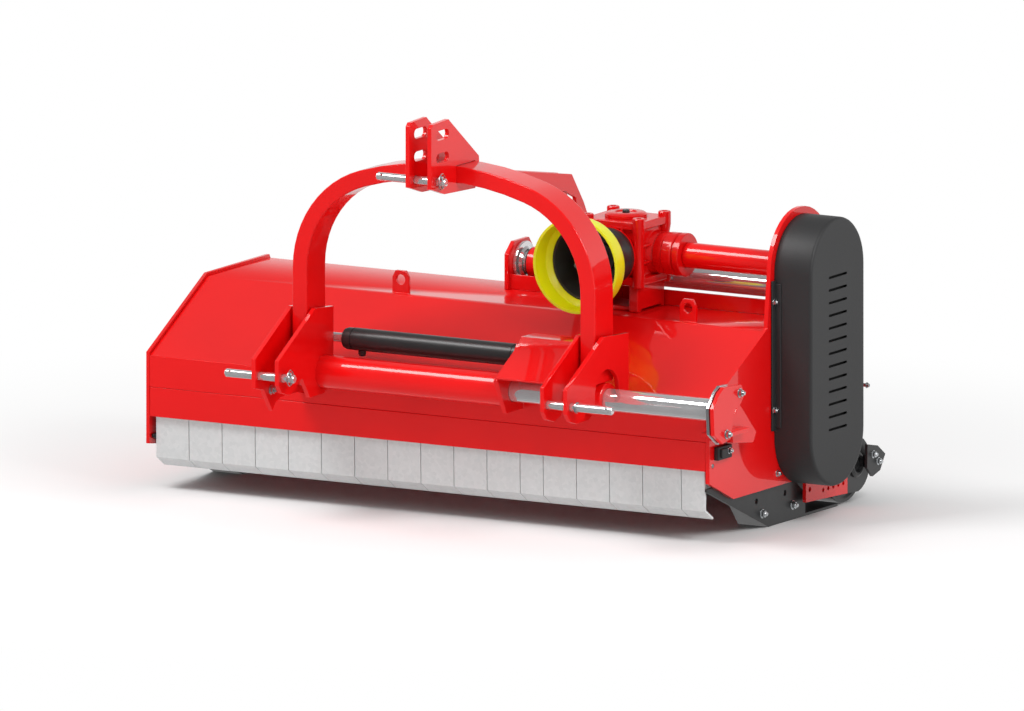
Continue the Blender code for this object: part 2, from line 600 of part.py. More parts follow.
def cylinder():
    axis = (CYLINDER_Y, CYLINDER_Z)
    barrel = cylinder_mesh(BARREL_RADIUS, BARREL_X[0], BARREL_X[1], "X", axis)
    bore = cylinder_mesh(ROD_RADIUS + SLIDE_GAP, BARREL_X[0] - GAP, BARREL_X[0] + BARREL_BORE_DEPTH, "X", axis, 24)
    port = cylinder_mesh(0.0085, CYLINDER_Z - BARREL_RADIUS - 0.014, CYLINDER_Z - BARREL_RADIUS / 2, "Z",
                         (BARREL_X[0] + 0.050, CYLINDER_Y), 12)
    add("cylinder_barrel", cut(join(barrel, port), bore), "black_paint")
    rod_start = BRACKET_LEFT_X + PLATE + GAP
    rod = cylinder_mesh(ROD_RADIUS, rod_start, BARREL_X[0] + ROD_IN_BARREL, "X", axis, 24)
    add("cylinder_rod", rod, "chrome")

    lug_x = SLEEVE_END_X + GAP
    outline = [(-0.149, 0.418), (-0.040, 0.480), (-0.028, 0.496), (CYLINDER_Y + 0.030, 0.496),
               (CYLINDER_Y + 0.030, 0.432), (-0.012, 0.415), (-0.012, 0.322), (-0.100, 0.322)]
    lug = plate_x(outline, lug_x, lug_x + PLATE, [circle((BAR_Y, BAR_Z), BAR_HOLE, ROUND)])
    path = [(-0.149, 0.424), (-0.036, 0.484), (-0.012, 0.514), (0.050, 0.514)]
    cover = plate_x(band(path, GUARD_SHEET), lug_x + PLATE / 2, HITCH_RIGHT[0] - GAP)
    add("cylinder_guard", join(lug, cover), "red_paint", smooth=False)


def gearbox():
    x_low, x_high = INPUT_X - GEARBOX_WIDTH / 2, INPUT_X + GEARBOX_WIDTH / 2
    inset = 0.016
    body = box_mesh((x_low + inset, GEARBOX_FRONT_Y + inset, GEARBOX_LOW),
                    (x_high - inset, GEARBOX_REAR_Y - inset, GEARBOX_TOP))
    for z in (GEARBOX_LOW, GEARBOX_TOP - 0.030):
        slab = box_mesh((x_low, GEARBOX_FRONT_Y, z), (x_high, GEARBOX_REAR_Y, z + 0.030))
        body = join(body, slab)
    top = GEARBOX_TOP + GEARBOX_CAP
    cap = cylinder_mesh(0.060, GEARBOX_TOP - 0.010, top, "Z",
                        (INPUT_X, (GEARBOX_FRONT_Y + GEARBOX_REAR_Y) / 2), 24)
    nose = cylinder_mesh(FLANGE_RADIUS, GEARBOX_FRONT_Y - 0.030, GEARBOX_FRONT_Y + inset + 0.010, "Y",
                         (INPUT_X, UPPER_Z), 24)
    boss = cylinder_mesh(FLANGE_RADIUS, x_high - inset - 0.010, x_high + FLANGE_LENGTH, "X", (SHAFT_Y, UPPER_Z), 24)
    foot = box_mesh((x_low + 0.010, GEARBOX_FRONT_Y + 0.010, HOOD_TOP + GAP),
                    (x_high - 0.010, GEARBOX_REAR_Y - 0.010, GEARBOX_LOW + 0.005))
    body = join(body, cap, nose, boss, foot)
    input_bore = cylinder_mesh(INPUT_SHAFT_RADIUS + SLIDE_GAP, GEARBOX_FRONT_Y - 0.040, SHAFT_Y - SHAFT_RADIUS - 0.010,
                               "Y", (INPUT_X, UPPER_Z), 24)
    output_bore = cylinder_mesh(SHAFT_RADIUS + SLIDE_GAP, INPUT_X - 0.010, x_high + FLANGE_LENGTH + 0.010, "X",
                                (SHAFT_Y, UPPER_Z), 24)
    add("gearbox", cut(body, input_bore, output_bore), "red_paint", smooth=False)
    tube = tube_mesh(SHAFT_TUBE_RADIUS, SHAFT_RADIUS + 0.006, x_high + FLANGE_LENGTH + GAP, INNER_RIGHT,
                     (SHAFT_Y, UPPER_Z))
    add("shaft_tube", tube, "red_paint")


def turned_mesh(profile, axis, across, sides=ROUND):
    """A closed profile of (radius, distance) points, turned about an axis by a Screw modifier."""
    mesh = bpy.data.meshes.new("turned")
    points = [(radius, 0, along) for radius, along in profile]
    edges = [(i, (i + 1) % len(points)) for i in range(len(points))]
    mesh.from_pydata(points, edges, [])
    holder = bpy.data.objects.new("turned", mesh)
    CUTTERS.objects.link(holder)
    screw = holder.modifiers.new("screw", "SCREW")
    screw.steps = sides
    screw.render_steps = sides
    screw.use_merge_vertices = True
    screw.merge_threshold = 0.00005
    bpy.context.view_layer.update()
    result = bpy.data.meshes.new_from_object(holder.evaluated_get(bpy.context.evaluated_depsgraph_get()))
    bpy.data.objects.remove(holder)
    tidy(result)
    if axis == "X":
        result.transform(Matrix.Translation((0, *across)) @ Matrix.Rotation(pi / 2, 4, "Y"))
    else:
        result.transform(Matrix.Translation((across[0], 0, across[1])) @ Matrix.Rotation(-pi / 2, 4, "X"))
    return result


def drive():
    mouth, wall = GUARD_MOUTH_RADIUS, GUARD_WALL
    nose_front = GEARBOX_FRONT_Y - 0.030
    band_end = GUARD_MOUTH_Y + GUARD_BAND
    collar_end = GEARBOX_FRONT_Y - GAP
    profile = [(mouth - wall, GUARD_MOUTH_Y), (mouth, GUARD_MOUTH_Y), (mouth - 0.006, band_end),
               (COLLAR_RADIUS + 0.012, band_end + 0.050), (COLLAR_RADIUS, nose_front - 0.010), (COLLAR_RADIUS, collar_end),
               (FLANGE_RADIUS + FACET, collar_end), (FLANGE_RADIUS + FACET, nose_front - 0.010 + wall),
               (COLLAR_RADIUS + 0.012 - wall, band_end + 0.046), (mouth - 0.006 - wall, band_end - 0.002)]
    guard = turned_mesh(profile, "Y", (INPUT_X, UPPER_Z))
    add("pto_guard", guard, "yellow_plastic")
    shaft = cylinder_mesh(INPUT_SHAFT_RADIUS, GUARD_MOUTH_Y + 0.020, SHAFT_Y - SHAFT_RADIUS - 0.014, "Y",
                          (INPUT_X, UPPER_Z), 24)
    add("input_shaft", shaft, "steel", (INPUT_X, 0, UPPER_Z))
    end = DECK_WIDTH + 0.020 + PULLEY_WIDTH
    drive_shaft = cylinder_mesh(SHAFT_RADIUS, INPUT_X + 0.010, end, "X", (SHAFT_Y, UPPER_Z), 24)
    add("drive_shaft", drive_shaft, "steel", (0, SHAFT_Y, UPPER_Z))

    start = DECK_WIDTH + 0.012
    for name, radius, bore, z in (("upper_pulley", UPPER_PULLEY_RADIUS, SHAFT_RADIUS, UPPER_Z),
                                  ("lower_pulley", LOWER_PULLEY_RADIUS, JOURNAL_RADIUS, ROTOR_Z)):
        pulley = tube_mesh(radius, bore + SLIDE_GAP, start, start + PULLEY_WIDTH, (SHAFT_Y, z))
        add(name, pulley, "steel", (0, SHAFT_Y, z))

    lean = acos((UPPER_PULLEY_RADIUS - LOWER_PULLEY_RADIUS) / (UPPER_Z - ROTOR_Z)) * 180 / pi

    def loop(extra):
        upper = arc((SHAFT_Y, UPPER_Z), UPPER_PULLEY_RADIUS + extra, -90 + lean, 270 - lean, 20)
        lower = arc((SHAFT_Y, ROTOR_Z), LOWER_PULLEY_RADIUS + extra, 270 - lean, 270 + lean, 14)
        return upper + lower

    inset = (PULLEY_WIDTH - BELT_WIDTH) / 2
    slack = 0.0012
    belt = plate_x(loop(slack + BELT_THICK), start + inset, start + inset + BELT_WIDTH, [loop(slack)])
    add("drive_belt", belt, "rubber")


def belt_cover():
    def stadium(radius):
        return (arc((SHAFT_Y, UPPER_Z), radius, 0, 180, 20) + arc((SHAFT_Y, ROTOR_Z), radius, 180, 360, 20))

    base = DECK_WIDTH + GAP
    shell = plate_x(stadium(COVER_RADIUS), base, base + COVER_DEPTH)
    room = plate_x(stadium(COVER_RADIUS - COVER_WALL), base - COVER_WALL, base + COVER_DEPTH - COVER_WALL)
    add("belt_cover", cut(shell, room), "black_plastic")


def rotor():
    axis = (SHAFT_Y, ROTOR_Z)
    low, high = INNER_LEFT + ROTOR_END_GAP, INNER_RIGHT - ROTOR_END_GAP
    mesh = cylinder_mesh(ROTOR_RADIUS, low, high, "X", axis, 24)
    end = DECK_WIDTH + 0.020 + PULLEY_WIDTH
    mesh = join(mesh, cylinder_mesh(JOURNAL_RADIUS, 0, end, "X", axis, 24))
    pitch = (high - low - FLAIL_WIDTH) / (FLAIL_COUNT - 1)
    for i in range(FLAIL_COUNT):
        turn = i * 2 * pi * 2 / 5
        x = low + 0.002 + i * (pitch - 0.0004)
        blade = box_mesh((x, -FLAIL_THICK / 2, ROTOR_RADIUS - 0.012), (x + FLAIL_WIDTH, FLAIL_THICK / 2, FLAIL_REACH))
        blade.transform(Matrix.Translation((0, *axis)) @ Matrix.Rotation(turn, 4, "X"))
        mesh = join(mesh, blade)
    add("rotor", mesh, "black_paint", (0, *axis), smooth=False)


def roller():
    axis = (ROLLER_Y, ROLLER_RADIUS)
    low, high = INNER_LEFT + ROLLER_END_GAP, INNER_RIGHT - ROLLER_END_GAP
    drum = cylinder_mesh(ROLLER_RADIUS, low, high, "X", axis)
    axle = cylinder_mesh(ROLLER_PIVOT_RADIUS, -ARM_PLATE - GAP, DECK_WIDTH + ARM_PLATE + GAP, "X", axis, 24)
    add("rear_roller", join(drum, axle), "black_paint", (0, *axis))
    front, top = SHAFT_Y + 0.010, ROTOR_Z - COVER_RADIUS - 0.002
    outline = [(front, ARM_LOW), (front, top), (front + 0.053, top), (front + 0.108, top + 0.050),
               (front + 0.198, top + 0.076)]
    outline += arc(axis, ARM_EYE_RADIUS, 100, -80, 12) + [(ROLLER_Y - ARM_EYE_RADIUS, ARM_LOW - 0.007)]
    holes = [circle(axis, ROLLER_PIVOT_RADIUS + SLIDE_GAP, ROUND), circle((front + 0.020, 0.075), 0.007, 10)]
    for row, count in ((0.063, 5), (0.084, 3)):
        first = front + 0.091 if count == 5 else front + 0.078
        holes += [circle((first + ARM_HOLE_PITCH * i, row + ARM_HOLE_RISE * i), ARM_HOLE_RADIUS, 10) for i in range(count)]
    for name, x in (("roller_arm_left", -ARM_PLATE - GAP), ("roller_arm_right", DECK_WIDTH + GAP)):
        arm = plate_x(outline, x, x + ARM_PLATE, holes)
        if x > 0:
            outer = x + ARM_PLATE + SCRAPER_SPACER
            shape = [(0.010, 0.055), (0.064, 0.044), (0.104, 0.016), (0.077, -0.024), (0.037, -0.035), (0.008, -0.008)]
            bracket = [(ROLLER_Y + y, ROLLER_RADIUS + z) for y, z in shape]
            spacer = box_mesh((x + ARM_PLATE / 2, ROLLER_Y + 0.034, ROLLER_RADIUS - 0.012),
                              (outer + SCRAPER_PLATE / 2, ROLLER_Y + 0.062, ROLLER_RADIUS + 0.020))
            arm = join(arm, spacer, plate_x(bracket, outer, outer + SCRAPER_PLATE))
        add(name, arm, "red_paint", smooth=False)


def skids():
    path = [(SKID_TIP_Y, SKID_TIP_Z), (SKID_KINK_Y, SKID_SHEET), (SKID_REAR_Y, SKID_SHEET)]
    runner = band(path, SKID_SHEET)
    rear = SKID_UPRIGHT_REAR_Y
    upright = [(SKID_TIP_Y, SKID_TIP_Z), (SKID_TIP_Y + 0.010, SKID_UPRIGHT_TOP), (0.430, SKID_UPRIGHT_TOP),
               (0.455, 0.115), (rear, 0.062), (rear, SKID_SHEET / 2), (SKID_KINK_Y, SKID_SHEET / 2)]
    holes = [circle((0.270, 0.078), 0.008, 8), circle((0.420, 0.078), 0.008, 8)]
    for name, side, inward in (("skid_left", INNER_LEFT, 1), ("skid_right", INNER_RIGHT, -1)):
        edges = sorted((side, side + inward * SKID_WIDTH))
        sole = plate_x(runner, *edges)
        wall = plate_x(upright, *sorted((side, side + inward * SKID_SHEET)), holes)
        narrow, wide = side + inward * SKID_SHEET, side + inward * (SKID_WIDTH + 0.001)
        corner = [(narrow, -0.050), (narrow, SKID_TAPER_Y), (wide, SKID_KINK_Y), (wide, -0.050)]
        sole = cut(sole, flat_mesh(corner, 2 * DECK_WIDTH, plane="XY"))
        add(name, join(sole, wall), "black_paint", smooth=False)


def settle():
    """Moves the footprint so that the origin is under the middle of the whole machine."""
    bpy.context.view_layer.update()
    corners = [piece.matrix_world @ Vector(corner) for piece in PARTS.objects if piece.type == "MESH"
               for corner in piece.bound_box]
    low = [min(corner[i] for corner in corners) for i in range(3)]
    high = [max(corner[i] for corner in corners) for i in range(3)]
    FOOTPRINT.location = (-(low[0] + high[0]) / 2, -(low[1] + high[1]) / 2, -low[2])
    bpy.context.view_layer.update()


side_plates()
hood()
front_beam()
flaps()
slide_bars()
bar_brackets()
arch()
hitch_plates()
top_link()
stays()
pins()
cylinder()
gearbox()
drive()
belt_cover()
rotor()
roller()
skids()
settle()
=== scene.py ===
# %% [markdown]
# # A side-shift flail mulcher
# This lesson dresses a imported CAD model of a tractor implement: a red steel deck with a flail rotor, a row
# of zinc flaps, an arched hitch that slides on chrome bars, a gearbox and a belt drive. The CAD solids give
# every size. Here they get their rounded edges, their small fittings and their paint.

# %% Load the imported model
import json
from math import cos, pi, radians, sin

import bmesh
import bpy
from mathutils import Matrix, Vector

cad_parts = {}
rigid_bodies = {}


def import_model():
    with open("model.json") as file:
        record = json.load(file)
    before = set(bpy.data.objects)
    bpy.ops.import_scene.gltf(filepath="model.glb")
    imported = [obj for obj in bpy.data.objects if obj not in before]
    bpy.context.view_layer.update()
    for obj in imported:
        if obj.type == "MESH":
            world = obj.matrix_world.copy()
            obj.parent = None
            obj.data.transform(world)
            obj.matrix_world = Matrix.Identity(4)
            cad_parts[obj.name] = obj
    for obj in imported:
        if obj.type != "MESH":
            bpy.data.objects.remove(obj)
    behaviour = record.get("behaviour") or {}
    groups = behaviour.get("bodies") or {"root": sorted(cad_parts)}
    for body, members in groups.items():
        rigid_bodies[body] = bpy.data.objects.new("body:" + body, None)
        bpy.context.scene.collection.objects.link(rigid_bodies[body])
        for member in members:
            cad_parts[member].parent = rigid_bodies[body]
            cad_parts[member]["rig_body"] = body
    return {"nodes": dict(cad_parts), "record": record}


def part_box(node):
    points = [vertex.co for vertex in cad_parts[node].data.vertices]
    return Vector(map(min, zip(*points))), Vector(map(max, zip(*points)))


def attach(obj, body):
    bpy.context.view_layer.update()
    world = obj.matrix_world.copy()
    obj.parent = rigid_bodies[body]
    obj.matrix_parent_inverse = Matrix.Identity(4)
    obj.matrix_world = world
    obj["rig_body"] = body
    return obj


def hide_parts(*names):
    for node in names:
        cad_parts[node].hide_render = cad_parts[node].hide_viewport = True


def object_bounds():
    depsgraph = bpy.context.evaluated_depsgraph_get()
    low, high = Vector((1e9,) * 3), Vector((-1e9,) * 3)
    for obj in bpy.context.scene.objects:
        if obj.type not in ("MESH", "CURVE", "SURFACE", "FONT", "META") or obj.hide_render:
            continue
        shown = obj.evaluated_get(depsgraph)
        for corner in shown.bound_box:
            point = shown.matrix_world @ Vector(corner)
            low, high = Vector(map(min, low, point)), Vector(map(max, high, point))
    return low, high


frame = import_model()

CAD_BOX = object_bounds()
NODES = frame["nodes"]
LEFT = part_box("left_side_plate")[0].x
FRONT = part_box("front_beam")[0].y


def drawn(x, y, z):
    """A place in millimetres: across from the left plate, back from the front beam, up from the ground."""
    return Vector((LEFT + x / 1000, FRONT + y / 1000, z / 1000))


print(f"{len(NODES)} solids, drawn from {LEFT:.3f}, {FRONT:.3f}")

# %% [markdown]
# ## Colours and nodes
# Colours are picked as sRGB hex codes, as a paint chart gives them, but shaders count in linear light, so one
# function turns them. One more function adds a node with its settings, and links any socket that it is given.

# %% Helpers for materials
def linear(code):
    """An sRGB hex colour as linear red, green, blue and alpha."""
    channels = [int(code[i:i + 2], 16) / 255 for i in (0, 2, 4)]
    return [c / 12.92 if c <= 0.04045 else ((c + 0.055) / 1.055) ** 2.4 for c in channels] + [1.0]


def add_node(tree, kind, sockets, **settings):
    """Adds a node. A socket gets a value, or a link if it is given another node's output."""
    node = tree.nodes.new(kind)
    for key, value in settings.items():
        setattr(node, key, value)
    for key, value in sockets.items():
        if isinstance(value, bpy.types.NodeSocket):
            tree.links.new(value, node.inputs[key])
        else:
            node.inputs[key].default_value = value
    return node


def finish(name, **sockets):
    """A new material whose shader's sockets are set, and its node tree, shader and place on the piece."""
    made = bpy.data.materials.new(name)
    made.use_nodes = True
    tree = made.node_tree
    shader = tree.nodes["Principled BSDF"]
    for key, value in sockets.items():
        shader.inputs[key.replace("_", " ")].default_value = value
    place = add_node(tree, "ShaderNodeTexCoord", {}).outputs["Object"]
    return made, tree, shader, place


def mottle(tree, shader, place, size, dark, light):
    """Mixes two near colours by noise whose blotches have a real size in metres."""
    noise = add_node(tree, "ShaderNodeTexNoise", {"Vector": place, "Scale": 1 / size, "Detail": 3.0})
    mix = add_node(tree, "ShaderNodeMix", {"Factor": noise.outputs["Fac"], "A": linear(dark), "B": linear(light)},
                   data_type="RGBA")
    tree.links.new(mix.outputs["Result"], shader.inputs["Base Color"])
    return noise


def relief(tree, shader, height, depth, strength):
    """Raises the surface by a height from 0 to 1, to a depth in metres."""
    bump = add_node(tree, "ShaderNodeBump", {"Height": height, "Distance": depth, "Strength": strength})
    tree.links.new(bump.outputs["Normal"], shader.inputs["Normal"])


FINISHES, SLOTS = {}, {}
print("a mid grey in linear light:", round(linear("808080")[0], 3))

# %% [markdown]
# ## Red enamel
# Farm machines are primed and sprayed with a glossy two-pack enamel. It gives a saturated red under a hard
# clear gloss. A coat layer does that best: the colour below stays soft and the coat alone mirrors the studio.
# Sprayed paint dries with a slight orange peel of 2 or 3 mm, drawn here at 12 mm so that a render shows it.
# The gearbox is painted with it too, over the grain of a sand casting, which breaks the gloss up.

# %% Red enamel for sheet metal, and for the rough casting of the gearbox
made, tree, shader, place = finish("two-pack red enamel", Roughness=0.36, Specular_IOR_Level=0.15,
                                   Coat_Weight=1.0, Coat_Roughness=0.03)
mottle(tree, shader, place, 0.30, "DE0406", "EE080A")
peel = add_node(tree, "ShaderNodeTexNoise", {"Vector": place, "Scale": 1 / 0.012, "Detail": 1.0})
relief(tree, shader, peel.outputs["Fac"], 0.00035, 0.10)
FINISHES["red"], SLOTS["red"] = made, "red_paint"

made, tree, shader, place = finish("red enamel on grey cast iron", Roughness=0.38, Specular_IOR_Level=0.15,
                                   Coat_Weight=0.70, Coat_Roughness=0.08)
mottle(tree, shader, place, 0.08, "C60406", "E2080A")
sand = add_node(tree, "ShaderNodeTexNoise", {"Vector": place, "Scale": 1 / 0.006, "Detail": 4.0})
relief(tree, shader, sand.outputs["Fac"], 0.0008, 0.35)
FINISHES["cast red"], SLOTS["cast red"] = made, "red_paint"
print("finishes:", list(FINISHES))

# %% [markdown]
# ## Black enamel and moulded plastics
# The skids, rotor and roller wear satin black enamel. The belt cover is ABS, moulded with a fine grain that
# breaks the gloss into a soft grey sheen. The shaft guard is polyethylene, waxy and a little see-through at
# its edge, in the yellow that warns of a turning shaft. Belt and seals are rubber, dull and nearly black.

# %% Black enamel, ABS, polyethylene and rubber
made, tree, shader, place = finish("satin black enamel", Roughness=0.38, Coat_Weight=0.2, Coat_Roughness=0.2)
mottle(tree, shader, place, 0.05, "1F1F20", "29292A")
grime = add_node(tree, "ShaderNodeTexNoise", {"Vector": place, "Scale": 1 / 0.010, "Detail": 3.0})
relief(tree, shader, grime.outputs["Fac"], 0.0004, 0.15)
FINISHES["black"], SLOTS["black"] = made, "black_paint"

made, tree, shader, place = finish("grained black ABS", Roughness=0.52, IOR=1.53)
mottle(tree, shader, place, 0.20, "272728", "2D2D2E")
grain = add_node(tree, "ShaderNodeTexVoronoi", {"Vector": place, "Scale": 1 / 0.004})
relief(tree, shader, grain.outputs["Distance"], 0.0005, 0.25)
FINISHES["abs"], SLOTS["abs"] = made, "black_plastic"

made, tree, shader, place = finish("yellow polyethylene", Roughness=0.35, IOR=1.51, Subsurface_Weight=0.08,
                                   Subsurface_Scale=0.004)
mottle(tree, shader, place, 0.06, "DFE000", "EEF010")
flow = add_node(tree, "ShaderNodeTexNoise", {"Vector": place, "Scale": 1 / 0.015, "Detail": 1.0})
relief(tree, shader, flow.outputs["Fac"], 0.0004, 0.12)
FINISHES["yellow"], SLOTS["yellow"] = made, "yellow_plastic"

made, tree, shader, place = finish("vulcanised rubber", Roughness=0.78)
mottle(tree, shader, place, 0.01, "141414", "1E1E1E")
weave = add_node(tree, "ShaderNodeTexNoise", {"Vector": place, "Scale": 1 / 0.003, "Detail": 2.0})
relief(tree, shader, weave.outputs["Fac"], 0.0005, 0.4)
FINISHES["rubber"], SLOTS["rubber"] = made, "rubber"
print("finishes:", list(FINISHES))

# %% [markdown]
# ## Bare metals
# The bars and pins are ground and hard chromed, so they mirror the studio in long bands. They are set a
# little short of fully metallic, which keeps their dark bands from going black. The flaps are sheet that was
# dipped in zinc: crystals, called spangle, of about 10 mm change how the sheet scatters light. A weathered
# zinc skin is dull, so it is only partly metallic here. The bolts are plated with bright zinc. Turned steel
# shows fine rings round its axis.

# %% Chrome, zinc and steel
made, tree, shader, place = finish("ground hard chrome", Metallic=0.78)
noise = mottle(tree, shader, place, 0.04, "E4E6E8", "F2F3F4")
polish = add_node(tree, "ShaderNodeMapRange", {"Value": noise.outputs["Fac"], "To Min": 0.05, "To Max": 0.12})
tree.links.new(polish.outputs["Result"], shader.inputs["Roughness"])
FINISHES["chrome"], SLOTS["chrome"] = made, "chrome"

made, tree, shader, place = finish("hot-dip galvanised sheet", Metallic=0.25)
spangle = add_node(tree, "ShaderNodeTexVoronoi", {"Vector": place, "Scale": 1 / 0.010})
tint = add_node(tree, "ShaderNodeMix", {"Factor": spangle.outputs["Color"], "A": linear("DDE0E0"),
                                        "B": linear("E8EAEA")}, data_type="RGBA")
tree.links.new(tint.outputs["Result"], shader.inputs["Base Color"])
frost = add_node(tree, "ShaderNodeMapRange", {"Value": spangle.outputs["Color"], "To Min": 0.42, "To Max": 0.55})
tree.links.new(frost.outputs["Result"], shader.inputs["Roughness"])
FINISHES["zinc sheet"], SLOTS["zinc sheet"] = made, "galvanised"

made, tree, shader, place = finish("bright zinc plate", Metallic=1.0, Roughness=0.24)
mottle(tree, shader, place, 0.006, "C6C9CC", "E2E4E6")
pits = add_node(tree, "ShaderNodeTexNoise", {"Vector": place, "Scale": 1 / 0.003, "Detail": 2.0})
relief(tree, shader, pits.outputs["Fac"], 0.0002, 0.2)
FINISHES["bolt"], SLOTS["bolt"] = made, "galvanised"

made, tree, shader, place = finish("turned bright steel", Metallic=1.0, Roughness=0.33)
mottle(tree, shader, place, 0.02, "8E9093", "A6A8AA")
rings = add_node(tree, "ShaderNodeTexWave", {"Vector": place, "Scale": 1 / 0.020, "Distortion": 0.5},
                 bands_direction="X")
relief(tree, shader, rings.outputs["Fac"], 0.0002, 0.15)
FINISHES["steel"], SLOTS["steel"] = made, "steel"
print("finishes:", list(FINISHES))

# %% [markdown]
# ## Shapes in mesh code
# Most of the machine is plate, bar and turned parts, so three ways of making a mesh are enough. A profile
# turned about an axis gives bars, flanges and, with six steps, hexagon bolts. A block gives ribs. A flat
# outline with holes, filled by a 2D curve, gives plates. Several of these can go into one piece. The first
# two come here, and the outline comes with the belt cover.

# %% Turned parts and blocks
ACROSS, BACK, UP = Vector((1, 0, 0)), Vector((0, 1, 0)), Vector((0, 0, 1))


def turned(shape, profile, place, axis, steps=40, closed=False):
    """Turns a profile of (radius, distance) points, in millimetres, about an axis through a place."""
    turn = UP.rotation_difference(Vector(axis)).to_matrix().to_4x4()
    frame_here = Matrix.Translation(place) @ turn
    loops = []
    for radius, along in profile:
        corners = 1 if radius < 0.001 else steps
        angles = [2 * pi * i / steps for i in range(corners)]
        spread = radius if corners > 1 else 0.0
        loops.append([shape.verts.new(frame_here @ (Vector((spread * cos(a), spread * sin(a), along)) / 1000))
                      for a in angles])
    pairs = list(zip(loops, loops[1:])) + ([(loops[-1], loops[0])] if closed else [])
    for low, high in pairs:
        for i in range(steps):
            j = (i + 1) % steps
            corners = [low[i % len(low)], low[j % len(low)], high[j % len(high)], high[i % len(high)]]
            corners = list(dict.fromkeys(corners))
            if len(corners) > 2:
                shape.faces.new(corners)


def rod(shape, radius, length, place, axis, steps=40, chamfer=1.0):
    """A solid round bar with chamfered ends."""
    turned(shape, [(0, 0), (radius - chamfer, 0), (radius, chamfer), (radius, length - chamfer),
                   (radius - chamfer, length), (0, length)], place, axis, steps)


def pipe(shape, outer, inner, length, place, axis, steps=48, chamfer=1.0):
    """An open tube whose outer edges are chamfered."""
    turned(shape, [(inner, 0), (outer - chamfer, 0), (outer, chamfer), (outer, length - chamfer),
                   (outer - chamfer, length), (inner, length)], place, axis, steps, closed=True)


def block(shape, low, high):
    """A block between two places."""
    made = bmesh.ops.create_cube(shape, size=1.0)["verts"]
    size = [b - a for a, b in zip(low, high)]
    bmesh.ops.scale(shape, vec=size, verts=made)
    bmesh.ops.translate(shape, vec=(Vector(low) + Vector(high)) / 2, verts=made)


def ring(shape, radius, wire, place, axis, steps=40):
    """A ring of round wire."""
    profile = [(radius + wire * cos(a), wire * sin(a)) for a in [2 * pi * i / 12 for i in range(12)]]
    turned(shape, profile, place, axis, steps, closed=True)


print("the machine runs along", tuple(ACROSS), "with its rear towards", tuple(BACK))

# %% [markdown]
# ## Making a piece
# Every piece gets a finish and rides on one moving body of the machine. Where it stands for a CAD solid,
# that solid is hidden. Cut steel never has a razor edge, so a
# bevel catches the light along it, and weighted normals keep the broad faces flat.

# %% Pieces, and CAD solids with rounded edges
BODY_OF = {name: solid["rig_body"] for name, solid in NODES.items()}
CREASE = radians(32)


def piece(name, shape, look, body, stands_for=(), rounding=0.0, segments=2):
    """Turns a mesh in the making into a shown piece. The rounding is in millimetres."""
    bmesh.ops.remove_doubles(shape, verts=shape.verts, dist=0.00001)
    bmesh.ops.recalc_face_normals(shape, faces=shape.faces)
    mesh = bpy.data.meshes.new(name)
    shape.to_mesh(mesh)
    shape.free()
    made = bpy.data.objects.new(name, mesh)
    bpy.context.scene.collection.objects.link(made)
    mesh.materials.clear()
    mesh.materials.append(FINISHES[look])
    mesh.shade_smooth()
    if rounding:
        bevel = made.modifiers.new("rounded edges", "BEVEL")
        bevel.width, bevel.segments = rounding / 1000, segments
        bevel.limit_method, bevel.angle_limit = "ANGLE", radians(30)
        bevel.miter_outer = "MITER_ARC"
        weighted = made.modifiers.new("flat faces", "WEIGHTED_NORMAL")
        weighted.weight, weighted.keep_sharp = 90, False
    else:
        mesh.set_sharp_from_angle(angle=CREASE)
    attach(made, body)
    if stands_for:
        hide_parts(*stands_for)
    return made


def softened(node, look, rounding, segments=2):
    """A copy of a CAD solid, with its flat faces whole again and its edges rounded."""
    shape = bmesh.new()
    shape.from_mesh(NODES[node].data)
    bmesh.ops.remove_doubles(shape, verts=shape.verts, dist=0.00002)
    bmesh.ops.dissolve_limit(shape, angle_limit=radians(0.5), verts=shape.verts, edges=shape.edges)
    return piece(f"{node}_shown", shape, look, BODY_OF[node], [node], rounding, segments)


print(len(set(BODY_OF.values())), "moving bodies")

# %% [markdown]
# ## Cut and folded plates
# The deck, the hitch plates and the brackets are steel plate of 6 to 12 mm, cut by laser, folded and welded,
# and then painted. Their CAD outlines are right, so they keep them and only lose their sharp edges. The arch
# is a bent box tube, whose corners are rounder than those of a plate.

# %% Plates, arch, flaps and skids
CUT_EDGE, FOLD, TUBE_CORNER, SHEET_EDGE, ARM_EDGE = 1.5, 2.5, 4.0, 0.8, 1.2
PLATES = {"left_side_plate": CUT_EDGE, "right_side_plate": CUT_EDGE, "hood": CUT_EDGE, "front_beam": FOLD,
          "rear_beam": CUT_EDGE, "bar_bracket_left": CUT_EDGE, "bar_bracket_right": CUT_EDGE,
          "arch": TUBE_CORNER, "cylinder_guard": CUT_EDGE, "hitch_plate_left_outer": CUT_EDGE,
          "hitch_plate_left_inner": CUT_EDGE, "hitch_plate_right_inner": CUT_EDGE,
          "hitch_plate_right_outer": CUT_EDGE, "top_link_plate_left": CUT_EDGE,
          "top_link_plate_right": CUT_EDGE, "stay_left": CUT_EDGE, "stay_right": CUT_EDGE,
          "roller_arm_left": ARM_EDGE}
for node, rounding in PLATES.items():
    softened(node, "red", rounding, 3 if node == "arch" else 2)
FLAPS = [node for node in sorted(NODES) if node.startswith("flap_") and node != "flap_rod"]
for node in FLAPS:
    softened(node, "zinc sheet", SHEET_EDGE)
for node in ("skid_left", "skid_right"):
    softened(node, "black", CUT_EDGE)
print("plates:", len(PLATES), "flaps:", len(FLAPS))

# %% [markdown]
# ## Chrome bars and their sleeves
# The hitch slides on two ground bars. A sleeve is a plain tube, bored true, with a black wiper seal pressed
# into its end to keep soil off the chrome. They are turned here with more sides than the CAD has, because a
# mirror shows every facet.

